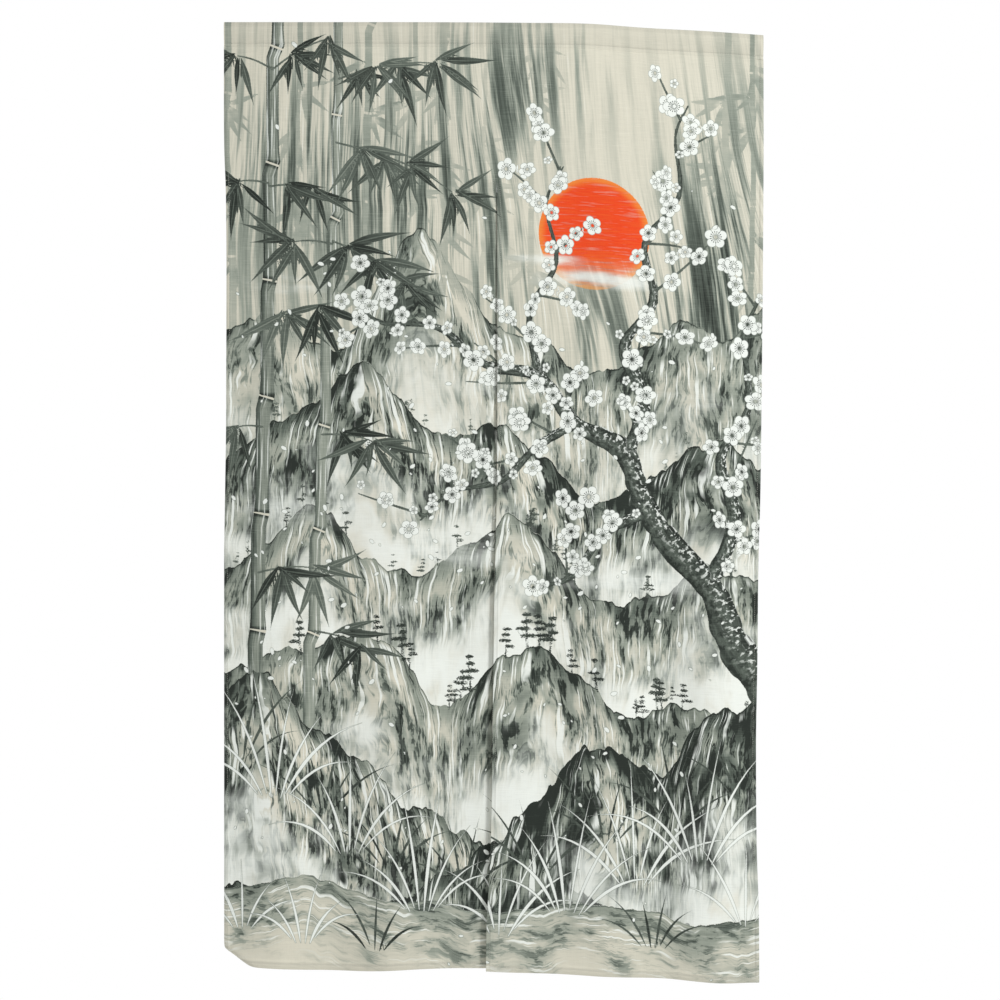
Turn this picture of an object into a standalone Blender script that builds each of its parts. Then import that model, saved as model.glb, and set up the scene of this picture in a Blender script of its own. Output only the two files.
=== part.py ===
"""A noren: a split doorway curtain of thin printed cloth, hanging from its top edge.

It has three pieces: the rod pocket along the top, and two panels that are sewn together
above the slit. Metres, +Z up. The printed side faces -Y. The origin is the highest point
of the pocket, over the middle of the curtain.
"""
import math

import bmesh
import bpy
import numpy as np

# ---- Driving sizes, in metres ----
WIDTH = 0.850                # across the top, flat
CLOTH = 0.0014               # thickness of one layer of cloth
SEAM_GAP = 0.0003            # between two pieces that are sewn together

POCKET_INSIDE_HEIGHT = 0.0326
POCKET_INSIDE_DEPTH = 0.0100
POCKET_TURN = 0.0050         # the two layers left below the pocket's stitch line
POCKET_HEIGHT = CLOTH + POCKET_INSIDE_HEIGHT + POCKET_TURN
POCKET_STEPS = 30            # lengths that the pocket is cut into, to follow the sag
POCKET_POINTS = 22           # points round the inside of its section
MERGE_DISTANCE = 0.00001     # welds the drawn pocket's ends to its walls
SHARP_ANGLE = math.radians(50)       # edges of the pocket turned more than this stay crisp

CLOTH_PLANE = -CLOTH / 2     # the panels' middle plane: they carry on the pocket's front layer
HALF_WIDTH = WIDTH / 2

# The top edge: level for two thirds of the way, then drooping to the right.
TOP_COLUMNS = ("x", "z")
TOP_ROWS = (
    (-0.425, 0.0000),
    (-0.190, 0.0000),
    (0.060, -0.0012),
    (0.150, -0.0026),
    (0.240, -0.0092),
    (0.330, -0.0140),
    (0.425, -0.0205),
)

# Where the curtain's two sides stand at each height.
SIDE_COLUMNS = ("z", "left", "right")
SIDE_ROWS = (
    (0.000, -0.4250, 0.4250),
    (-0.200, -0.4246, 0.4256),
    (-0.270, -0.4222, 0.4252),
    (-0.600, -0.4218, 0.4226),
    (-0.760, -0.4238, 0.4205),
    (-0.850, -0.4250, 0.4180),
    (-1.000, -0.4250, 0.4165),
    (-1.150, -0.4250, 0.4142),
    (-1.300, -0.4250, 0.4152),
    (-1.400, -0.4250, 0.4182),
    (-1.520, -0.4250, 0.4190),
)

# The two inner edges: joined down to the slit's top, then parting, and at last
# crossing. "back" and "front" are how far the left edge falls behind the cloth's
# plane there, and how far the right edge stands before it.
SLIT_COLUMNS = ("z", "left", "right", "back", "front")
SLIT_ROWS = (
    (0.000, 0.00485, 0.00515, 0.0000, 0.0000),
    (-0.250, 0.00485, 0.00515, 0.0000, 0.0000),
    (-0.300, 0.00360, 0.00600, 0.0008, 0.0006),
    (-0.500, 0.00280, 0.00600, 0.0022, 0.0016),
    (-0.720, 0.00240, 0.00540, 0.0034, 0.0030),
    (-0.910, 0.00200, 0.00120, 0.0046, 0.0042),
    (-1.070, 0.00200, -0.00080, 0.0054, 0.0048),
    (-1.320, 0.00240, -0.00520, 0.0060, 0.0052),
    (-1.430, 0.00280, -0.01100, 0.0062, 0.0054),
    (-1.520, 0.00300, -0.01200, 0.0064, 0.0056),
)
EDGE_REACH = 0.085           # how far in from an inner edge its lean is felt

# The foot of each panel.
HEM_COLUMNS = ("x", "z")
HEM_LEFT = (
    (-0.425, -1.4880),
    (-0.330, -1.4930),
    (-0.215, -1.4966),
    (-0.110, -1.4936),
    (0.005, -1.4936),
)
HEM_RIGHT = (
    (-0.012, -1.4966),
    (0.090, -1.5012),
    (0.245, -1.5076),
    (0.370, -1.5152),
    (0.425, -1.5156),
)

# The soft folds, a row each. "top" and "foot" say where the fold runs, as a share of the
# panel's width. Then its half width, and how far it stands towards the front (or, when
# negative, the back) a third of the way down, two thirds of the way down, and at the foot.
FOLD_COLUMNS = ("top", "foot", "half_width", "upper", "lower", "hem")
FOLDS_LEFT = (
    (0.04, 0.02, 0.050, -0.0015, -0.0020, -0.0030),
    (0.24, 0.19, 0.052, 0.0020, 0.0038, 0.0058),
    (0.42, 0.40, 0.044, -0.0022, -0.0040, -0.0052),
    (0.60, 0.62, 0.050, 0.0018, 0.0046, 0.0070),
    (0.81, 0.84, 0.040, -0.0016, -0.0030, -0.0044),
)
FOLDS_RIGHT = (
    (0.20, 0.24, 0.048, -0.0012, -0.0062, -0.0046),
    (0.42, 0.44, 0.046, 0.0022, 0.0092, 0.0060),
    (0.63, 0.66, 0.040, -0.0024, -0.0100, -0.0062),
    (0.82, 0.84, 0.042, 0.0020, 0.0094, 0.0066),
    (0.99, 0.98, 0.034, -0.0020, -0.0076, -0.0042),
)
# Heights at which the folds' sizes are given. Where the cloth leaves the pocket it is flat.
FOLD_LEVELS = (-POCKET_HEIGHT, -0.500, -1.050, -1.500)

# The left panel's outer bottom corner, turned back in a soft roll.
CORNER_INSET = 0.0310        # from the corner to the line where the roll starts
CORNER_SLOPE = math.radians(36)      # of that line, down to the right
CORNER_RADIUS = 0.0100
CORNER_TURN = math.radians(125)      # how far it has rolled before it runs on straight

# Mesh steps across and down each panel. A crowding above 1 draws the steps towards the
# left side and the foot, where the rolled corner needs them.
LEFT_STEPS = (28, 42)
LEFT_CROWDING = (1.40, 1.55)
RIGHT_STEPS = (24, 36)
RIGHT_CROWDING = (1.00, 1.15)

CLOTH_COLOUR = (0.62, 0.61, 0.53, 1.0)
CLOTH_ROUGHNESS = 0.9


# ---- Numbers from the tables ----
def column(rows, names, name):
    """One named column of a table."""
    index = names.index(name)
    return [row[index] for row in rows]


def smooth_between(at, knots, values):
    """The value at a place, on a smooth curve through a table's values."""
    order = np.argsort(knots)
    xs = np.asarray(knots, dtype=float)[order]
    ys = np.asarray(values, dtype=float)[order]
    slopes = np.diff(ys) / np.diff(xs)
    inner = np.where(slopes[:-1] * slopes[1:] > 0, (slopes[:-1] + slopes[1:]) / 2, 0.0)
    tangents = np.concatenate(([slopes[0]], inner, [slopes[-1]]))
    at = min(max(at, xs[0]), xs[-1])
    i = min(int(np.searchsorted(xs, at, side="right")) - 1, len(xs) - 2)
    step = xs[i + 1] - xs[i]
    t = (at - xs[i]) / step
    start = (1 + 2 * t) * (1 - t) ** 2 * ys[i] + t * (1 - t) ** 2 * step * tangents[i]
    end = t * t * (3 - 2 * t) * ys[i + 1] - t * t * (1 - t) * step * tangents[i + 1]
    return float(start + end)


def from_table(at, rows, names, key, value):
    """The smooth value of one column at a place along another."""
    return smooth_between(at, column(rows, names, key), column(rows, names, value))


def top_edge(x):
    """Height of the curtain's top edge."""
    return from_table(x, TOP_ROWS, TOP_COLUMNS, "x", "z")


def bump(distance, half_width):
    """A soft hump, 1 at its middle and nearly nothing two half widths away."""
    return math.exp(-(distance / half_width) ** 2)


# ---- The panels ----
def fold_relief(folds, across, z, width):
    """How far the folds carry the cloth towards the front at one place."""
    run = min(max(z / FOLD_LEVELS[-1], 0.0), 1.0)
    total = 0.0
    for row in folds:
        fold = dict(zip(FOLD_COLUMNS, row))
        centre = fold["top"] + (fold["foot"] - fold["top"]) * run
        heights = (0.0, fold["upper"], fold["lower"], fold["hem"])
        height = smooth_between(z, FOLD_LEVELS, heights)
        total += height * bump((across - centre) * width, fold["half_width"])
    return total


def left_panel_point(across, down):
    """A place on the left panel: its share of the width and of the length."""
    x, z = spread(across, down, HEM_LEFT, left_sides)
    left, right = left_sides(z)
    back = from_table(z, SLIT_ROWS, SLIT_COLUMNS, "z", "back") * bump(right - x, EDGE_REACH)
    y = CLOTH_PLANE - fold_relief(FOLDS_LEFT, across, z, right - left) + back
    return turn_corner(x, y, z)


def right_panel_point(across, down):
    """The same for the right panel."""
    x, z = spread(across, down, HEM_RIGHT, right_sides)
    left, right = right_sides(z)
    front = from_table(z, SLIT_ROWS, SLIT_COLUMNS, "z", "front") * bump(x - left, EDGE_REACH)
    y = CLOTH_PLANE - fold_relief(FOLDS_RIGHT, across, z, right - left) - front
    return x, y, z


def left_sides(z):
    """The left panel's two edges at a height."""
    return (from_table(z, SIDE_ROWS, SIDE_COLUMNS, "z", "left"),
            from_table(z, SLIT_ROWS, SLIT_COLUMNS, "z", "left"))


def right_sides(z):
    """The right panel's two edges at a height."""
    return (from_table(z, SLIT_ROWS, SLIT_COLUMNS, "z", "right"),
            from_table(z, SIDE_ROWS, SIDE_COLUMNS, "z", "right"))


def spread(across, down, hem_rows, sides):
    """Where a share of the width and of the length lies on the hanging cloth."""
    top_left, top_right = sides(0.0)
    top_x = top_left + (top_right - top_left) * across
    top_z = top_edge(top_x) - POCKET_HEIGHT - SEAM_GAP
    foot_x = hem_rows[0][0] + (hem_rows[-1][0] - hem_rows[0][0]) * across
    foot_z = from_table(foot_x, hem_rows, HEM_COLUMNS, "x", "z")
    z = top_z + (foot_z - top_z) * down
    left, right = sides(z)
    return left + (right - left) * across, z


def turn_corner(x, y, z):
    """Roll the left panel's outer bottom corner towards the back."""
    out_x, out_z = -math.sin(CORNER_SLOPE), -math.cos(CORNER_SLOPE)
    corner_x, corner_z = HEM_LEFT[0]
    beyond = (x - corner_x) * out_x + (z - corner_z) * out_z + CORNER_INSET
    if beyond <= 0:
        return x, y, z
    angle = min(beyond / CORNER_RADIUS, CORNER_TURN)
    straight = beyond - angle * CORNER_RADIUS
    reach = CORNER_RADIUS * math.sin(angle) + straight * math.cos(angle)
    depth = CORNER_RADIUS * (1 - math.cos(angle)) + straight * math.sin(angle)
    shift = reach - beyond
    return x + out_x * shift, y + depth, z + out_z * shift


def build_panel(name, place, steps, crowding):
    """A sheet of cloth from a flat grid, shaped by a function and given its thickness."""
    bm = bmesh.new()
    bmesh.ops.create_grid(bm, x_segments=steps[0], y_segments=steps[1], size=0.5)
    for vert in bm.verts:
        across = (vert.co.x + 0.5) ** crowding[0]
        down = 1 - (vert.co.y + 0.5) ** crowding[1]
        vert.co = place(across, down)
    bmesh.ops.recalc_face_normals(bm, faces=bm.faces)
    mesh = bpy.data.meshes.new(name)
    bm.to_mesh(mesh)
    bm.free()
    mesh.shade_smooth()
    panel = bpy.data.objects.new(name, mesh)
    solidify = panel.modifiers.new("cloth thickness", "SOLIDIFY")
    solidify.thickness = CLOTH
    solidify.offset = 0
    return panel


# ---- The rod pocket ----
def pocket_inside():
    """The inside of the pocket's section, as (y, z) points from its foot round to its foot."""
    points = []
    for k in range(1, POCKET_POINTS):
        t = 2 * math.pi * k / POCKET_POINTS
        drop = CLOTH + POCKET_INSIDE_HEIGHT * (1 + math.cos(t)) / 2
        points.append((-math.sin(t) * math.sin(t / 2), -drop))
    widest = max(y for y, _ in points)
    return [(y * POCKET_INSIDE_DEPTH / 2 / widest, z) for y, z in points]


def pocket_outside(inside):
    """The outside of the section: the inside moved out by one layer, down to the turned edge."""
    points = []
    last = len(inside) - 1
    for k, (y, z) in enumerate(inside):
        before = inside[max(k - 1, 0)]
        after = inside[min(k + 1, last)]
        along_y, along_z = after[0] - before[0], after[1] - before[1]
        length = math.hypot(along_y, along_z)
        points.append((y - along_z / length * CLOTH, z + along_y / length * CLOTH))
    return [(-CLOTH, -POCKET_HEIGHT)] + points + [(CLOTH, -POCKET_HEIGHT)]


def build_pocket(name):
    """The flat tube along the top: its section drawn as a curve, drawn out along X."""
    inside = pocket_inside()
    outline = bpy.data.curves.new(name + " section", "CURVE")
    outline.dimensions = "2D"
    outline.fill_mode = "BOTH"
    outline.extrude = HALF_WIDTH
    for points in (pocket_outside(inside), inside):
        spline = outline.splines.new("POLY")
        spline.points.add(len(points) - 1)
        spline.use_cyclic_u = True
        for point, (y, z) in zip(spline.points, points):
            point.co = (y, z, 0, 1)
    drawn = bpy.data.objects.new(name + " section", outline)
    drawn.rotation_euler = (math.pi / 2, 0, math.pi / 2)     # the section stands across X
    bpy.context.scene.collection.objects.link(drawn)
    bpy.context.view_layer.update()
    evaluated = drawn.evaluated_get(bpy.context.evaluated_depsgraph_get())
    mesh = bpy.data.meshes.new_from_object(evaluated)
    mesh.transform(drawn.matrix_world)
    bpy.data.objects.remove(drawn)

    bm = bmesh.new()
    bm.from_mesh(mesh)
    bmesh.ops.remove_doubles(bm, verts=bm.verts, dist=MERGE_DISTANCE)
    lengthwise = [e for e in bm.edges if abs(e.verts[0].co.x - e.verts[1].co.x) > HALF_WIDTH]
    bmesh.ops.subdivide_edges(bm, edges=lengthwise, cuts=POCKET_STEPS - 1)
    for vert in bm.verts:
        vert.co.z += top_edge(vert.co.x)
    bm.to_mesh(mesh)
    bm.free()
    mesh.name = name
    mesh.set_sharp_from_angle(angle=SHARP_ANGLE)
    return bpy.data.objects.new(name, mesh)


# ---- Material and collection ----
def cloth_material(name):
    """The undyed ground of the cloth."""
    material = bpy.data.materials.new(name)
    material.use_nodes = True
    shader = material.node_tree.nodes["Principled BSDF"]
    shader.inputs["Base Color"].default_value = CLOTH_COLOUR
    shader.inputs["Roughness"].default_value = CLOTH_ROUGHNESS
    shader.inputs["Metallic"].default_value = 0.0
    return material


def main():
    """Clear the scene and build the curtain in a collection of its own."""
    for leftover in list(bpy.data.objects):
        bpy.data.objects.remove(leftover)
    collection = bpy.data.collections.new("noren curtain")
    bpy.context.scene.collection.children.link(collection)
    pieces = (
        build_pocket("rod_pocket"),
        build_panel("panel_left", left_panel_point, LEFT_STEPS, LEFT_CROWDING),
        build_panel("panel_right", right_panel_point, RIGHT_STEPS, RIGHT_CROWDING),
    )
    for piece in pieces:
        piece.data.materials.append(cloth_material(piece.name + " cloth"))
        collection.objects.link(piece)


main()
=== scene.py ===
"""Dresses the noren: its printed cloth, turned hems, stitching, and the studio it hangs in.

Metres, +Z up. The printed side faces -Y. The picture on the cloth is drawn in its own flat
coordinates: x across the curtain, z down from its top edge.
"""
import math

import bpy
import numpy as np
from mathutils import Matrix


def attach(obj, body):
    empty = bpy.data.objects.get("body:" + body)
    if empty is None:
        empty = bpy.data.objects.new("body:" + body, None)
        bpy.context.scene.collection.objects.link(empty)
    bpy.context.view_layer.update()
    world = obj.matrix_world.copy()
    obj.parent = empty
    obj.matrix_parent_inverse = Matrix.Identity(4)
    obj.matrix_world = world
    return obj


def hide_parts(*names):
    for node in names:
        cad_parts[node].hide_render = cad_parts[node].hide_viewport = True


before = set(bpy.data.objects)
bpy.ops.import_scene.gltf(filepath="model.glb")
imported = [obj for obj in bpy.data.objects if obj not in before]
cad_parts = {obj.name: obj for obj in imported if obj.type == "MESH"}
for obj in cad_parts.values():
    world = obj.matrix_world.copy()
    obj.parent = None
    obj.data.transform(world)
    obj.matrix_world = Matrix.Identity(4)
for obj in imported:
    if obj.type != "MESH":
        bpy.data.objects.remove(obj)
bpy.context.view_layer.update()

bl_info = {
    "name": "Noren cloth and print",
    "version": (1, 0, 0),
    "blender": (4, 5, 0),
    "location": "3D View > Sidebar > Noren",
    "description": "Builds the printed cloth, hems, stitching and studio of a split doorway curtain",
    "category": "Object",
}

BODY = "root"


def named(names, rows):
    """A table's rows, each as its values by name."""
    return [dict(zip(names, row)) for row in rows]


# ---- The curtain as it hangs: the same tables as its solids ----
SOLID_CLOTH = 0.0014         # one layer of cloth in the solids, whose middle the sheet follows
POCKET_INSIDE_HEIGHT = 0.0326
POCKET_INSIDE_DEPTH = 0.0100
POCKET_TURN = 0.0050
POCKET_HEIGHT = SOLID_CLOTH + POCKET_INSIDE_HEIGHT + POCKET_TURN
PANEL_TOP = -POCKET_HEIGHT - 0.0003
CLOTH_PLANE = -SOLID_CLOTH / 2
HALF_WIDTH = 0.425
SEAM_X = 0.005               # where the two panels are joined, above the slit
SLIT_TOP = -0.250

TOP_COLUMNS = ("x", "z")
TOP_ROWS = named(TOP_COLUMNS, (
    (-0.425, 0.0000),
    (-0.190, 0.0000),
    (0.060, -0.0012),
    (0.150, -0.0026),
    (0.240, -0.0092),
    (0.330, -0.0140),
    (0.425, -0.0205),
))

SIDE_COLUMNS = ("z", "left", "right")
SIDE_ROWS = named(SIDE_COLUMNS, (
    (0.000, -0.4250, 0.4250),
    (-0.200, -0.4246, 0.4256),
    (-0.270, -0.4222, 0.4252),
    (-0.600, -0.4218, 0.4226),
    (-0.760, -0.4238, 0.4205),
    (-0.850, -0.4250, 0.4180),
    (-1.000, -0.4250, 0.4165),
    (-1.150, -0.4250, 0.4142),
    (-1.300, -0.4250, 0.4152),
    (-1.400, -0.4250, 0.4182),
    (-1.520, -0.4250, 0.4190),
))

SLIT_COLUMNS = ("z", "left", "right", "back", "front")
SLIT_ROWS = named(SLIT_COLUMNS, (
    (0.000, 0.00500, 0.00500, 0.0000, 0.0000),
    (-0.250, 0.00500, 0.00500, 0.0000, 0.0000),
    (-0.300, 0.00360, 0.00600, 0.0008, 0.0006),
    (-0.500, 0.00280, 0.00600, 0.0022, 0.0016),
    (-0.720, 0.00240, 0.00540, 0.0034, 0.0030),
    (-0.910, 0.00200, 0.00120, 0.0046, 0.0042),
    (-1.070, 0.00200, -0.00080, 0.0054, 0.0048),
    (-1.320, 0.00240, -0.00520, 0.0060, 0.0052),
    (-1.430, 0.00280, -0.01100, 0.0062, 0.0054),
    (-1.520, 0.00300, -0.01200, 0.0064, 0.0056),
))
EDGE_REACH = 0.085           # how far from the slit its two edges carry the cloth with them

HEM_COLUMNS = ("x", "z")
HEM_LEFT = named(HEM_COLUMNS, (
    (-0.425, -1.4880),
    (-0.330, -1.4930),
    (-0.215, -1.4966),
    (-0.110, -1.4936),
    (0.005, -1.4936),
))
HEM_RIGHT = named(HEM_COLUMNS, (
    (-0.012, -1.4966),
    (0.090, -1.5012),
    (0.245, -1.5076),
    (0.370, -1.5152),
    (0.425, -1.5156),
))

FOLD_COLUMNS = ("top", "foot", "half_width", "upper", "lower", "hem")
FOLDS_LEFT = named(FOLD_COLUMNS, (
    (0.04, 0.02, 0.050, -0.0015, -0.0020, -0.0030),
    (0.24, 0.19, 0.052, 0.0020, 0.0038, 0.0058),
    (0.42, 0.40, 0.044, -0.0022, -0.0040, -0.0052),
    (0.60, 0.62, 0.050, 0.0018, 0.0046, 0.0070),
    (0.81, 0.84, 0.040, -0.0016, -0.0030, -0.0044),
))
FOLDS_RIGHT = named(FOLD_COLUMNS, (
    (0.20, 0.24, 0.048, -0.0012, -0.0062, -0.0046),
    (0.42, 0.44, 0.046, 0.0022, 0.0092, 0.0060),
    (0.63, 0.66, 0.040, -0.0024, -0.0100, -0.0062),
    (0.82, 0.84, 0.042, 0.0020, 0.0094, 0.0066),
    (0.99, 0.98, 0.034, -0.0020, -0.0076, -0.0042),
))
FOLD_LEVELS = (-POCKET_HEIGHT, -0.500, -1.050, -1.500)

CORNER_INSET = 0.0310        # how far in from the left panel's outer corner its turn begins
CORNER_SLOPE = math.radians(36)
CORNER_RADIUS = 0.0100
CORNER_TURN = math.radians(125)

# ---- The fine creases, which only the cloth's surface has ----
# Each runs from one place to another, in the picture's coordinates, and stands towards
# the front, or when negative the back.
CREASE_COLUMNS = ("x", "z", "to_x", "to_z", "half_width", "height")
CREASES = named(CREASE_COLUMNS, (
    (-0.400, -0.060, -0.300, -0.190, 0.010, -0.0007),
    (-0.215, -0.045, -0.180, -0.210, 0.009, 0.0006),
    (0.006, -0.262, -0.060, -0.360, 0.009, 0.0010),
    (0.006, -0.262, 0.085, -0.350, 0.010, 0.0010),
    (0.004, -0.275, -0.020, -0.420, 0.008, -0.0008),
    (0.245, -0.050, 0.330, -0.190, 0.011, 0.0008),
    (0.395, -0.060, 0.330, -0.260, 0.012, -0.0009),
    (-0.140, -0.560, -0.075, -0.800, 0.010, 0.0007),
    (-0.385, -0.520, -0.360, -0.760, 0.010, -0.0007),
    (0.090, -0.620, 0.130, -0.860, 0.010, -0.0010),
    (0.330, -0.640, 0.300, -0.900, 0.009, 0.0011),
    (0.215, -0.900, 0.250, -1.140, 0.010, 0.0010),
    (-0.270, -0.930, -0.245, -1.180, 0.011, 0.0007),
    (-0.060, -1.060, -0.030, -1.300, 0.010, -0.0008),
    (-0.385, -1.400, -0.330, -1.300, 0.009, 0.0010),
    (-0.170, -1.480, -0.180, -1.340, 0.008, 0.0010),
    (0.160, -1.490, 0.150, -1.350, 0.009, -0.0010),
    (0.310, -1.500, 0.318, -1.330, 0.009, 0.0012),
))


# ---- Numbers from the tables ----
def column(rows, name):
    """One named column of a table."""
    return np.array([row[name] for row in rows], dtype=float)


def smooth_between(at, knots, values):
    """Values at places, on a smooth curve through a table's values."""
    order = np.argsort(knots)
    xs = np.asarray(knots, dtype=float)[order]
    ys = np.asarray(values, dtype=float)[order]
    slopes = np.diff(ys) / np.diff(xs)
    inner = np.where(slopes[:-1] * slopes[1:] > 0, (slopes[:-1] + slopes[1:]) / 2, 0.0)
    tangents = np.concatenate(([slopes[0]], inner, [slopes[-1]]))
    at = np.clip(at, xs[0], xs[-1])
    i = np.clip(np.searchsorted(xs, at, side="right") - 1, 0, len(xs) - 2)
    step = xs[i + 1] - xs[i]
    t = (at - xs[i]) / step
    start = (1 + 2 * t) * (1 - t) ** 2 * ys[i] + t * (1 - t) ** 2 * step * tangents[i]
    end = t * t * (3 - 2 * t) * ys[i + 1] - t * t * (1 - t) * step * tangents[i + 1]
    return start + end


def from_table(at, rows, key, value):
    """The smooth values of one column at places along another."""
    return smooth_between(at, column(rows, key), column(rows, value))


def top_edge(x):
    """Height of the curtain's top edge."""
    return from_table(x, TOP_ROWS, "x", "z")


def bump(distance, half_width):
    """A soft hump, 1 at its middle and nearly nothing two half widths away."""
    return np.exp(-(distance / half_width) ** 2)


def rise(value, low, high):
    """0 below one value and 1 above another, with soft ends."""
    t = np.clip((value - low) / (high - low), 0.0, 1.0)
    return t * t * (3 - 2 * t)


WANDER_HEIGHTS = 4096        # heights on a random line, half of them on either side of 0


def wander(at, pitch, seed):
    """A soft random line through -1 to 1, with a new height at each pitch."""
    heights = np.random.default_rng(seed).uniform(-1, 1, WANDER_HEIGHTS)
    place = at / pitch + WANDER_HEIGHTS // 2
    i = np.clip(np.floor(place).astype(int), 0, WANDER_HEIGHTS - 2)
    t = np.clip(place - i, 0.0, 1.0)
    t = t * t * (3 - 2 * t)
    return heights[i] * (1 - t) + heights[i + 1] * t


# ---- Where the cloth hangs ----
PICTURE_FOOT = -1.494        # the picture's lower edge, as the cloth lies flat
DROP = PANEL_TOP - PICTURE_FOOT  # a panel's length, as it lies flat
SIDE_LINE = 0.0050           # from a side edge in to its stitches
FOOT_LINE = 0.0085           # from the foot up to its stitches
POCKET_LINE = SOLID_CLOTH + POCKET_INSIDE_HEIGHT
EDGE_ROLL = 0.0013           # how far the outer edges and the foot turn to the back
EDGE_ROLL_WIDTH = 0.0036     # and over what width
HEM_STEP = 0.0007            # how far the doubled cloth of a hem or of the pocket stands proud
HEM_STEP_WIDTH = 0.0018      # and over what width it falls away
LAP = 0.0040                 # how far the left panel reaches behind the right one, at the slit
LAP_START = (0.262, 0.300)   # the depths between which the lap begins
TUCK = 0.0026                # how far the left panel's slit edge turns to the back there
TUCK_WIDTH = 0.0150
POCKET_FADE = 0.030          # below the pocket, where the panels' own relief starts
PART_FADE = 0.020            # below the slit's top, where the puckers of its hems start
UNEVEN = 0.0009              # how far the cloth is uneven, and over what lengths
UNEVEN_PITCHES = (0.047, 0.110)
PUCKER = 0.00022             # how far stitches draw the cloth up, over what lengths and how far
PUCKER_PITCHES = (0.0085, 0.021)
PUCKER_REACH = 0.010         # to either side of them
GROOVE_WIDTH = 0.0014        # of the groove that they lie in
PUCKER_SEEDS = {"outer": 11, "slit": 21, "foot": 31, "pocket": 41}
CREASE_BEND = 0.006          # how far a crease bows out of its straight line
JOINED_WIDTH = 0.030         # how far from the seam the folds are held flat by it
JOINED_LEVELS = (SLIT_TOP - 0.040, SLIT_TOP + 0.010)     # and the heights over which that starts
FRAME_STEP = 0.0006          # the share of a panel over which its directions are taken


def hem_form(distance, line):
    """How a hem stands to the front: rolled back at its edge, proud, and stepped down past
    its stitches."""
    rolled = EDGE_ROLL * (1 - rise(distance, 0.0, EDGE_ROLL_WIDTH))
    return HEM_STEP * (1 - rise(distance, line, line + HEM_STEP_WIDTH)) - rolled


def puckers(along, distance, seed):
    """How far the cloth is drawn up beside a line of stitches."""
    fine, coarse = PUCKER_PITCHES
    drawn = wander(along, fine, seed) * PUCKER + wander(along, coarse, seed + 1) * PUCKER
    return drawn * bump(distance, PUCKER_REACH) - PUCKER * bump(distance, GROOVE_WIDTH)


def crease_relief(x, z):
    """The fine creases, as how far they stand towards the front."""
    total = np.zeros_like(x)
    for crease in CREASES:
        run_x, run_z = crease["to_x"] - crease["x"], crease["to_z"] - crease["z"]
        length = math.hypot(run_x, run_z)
        off_x, off_z = x - crease["x"], z - crease["z"]
        share = (off_x * run_x + off_z * run_z) / length ** 2
        side = (off_x * run_z - off_z * run_x) / length
        bend = side - CREASE_BEND * np.sin(math.pi * share)
        ends = rise(share, -0.25, 0.25) * (1 - rise(share, 0.70, 1.25))
        total += crease["height"] * ends * bump(bend, crease["half_width"])
    return total


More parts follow.
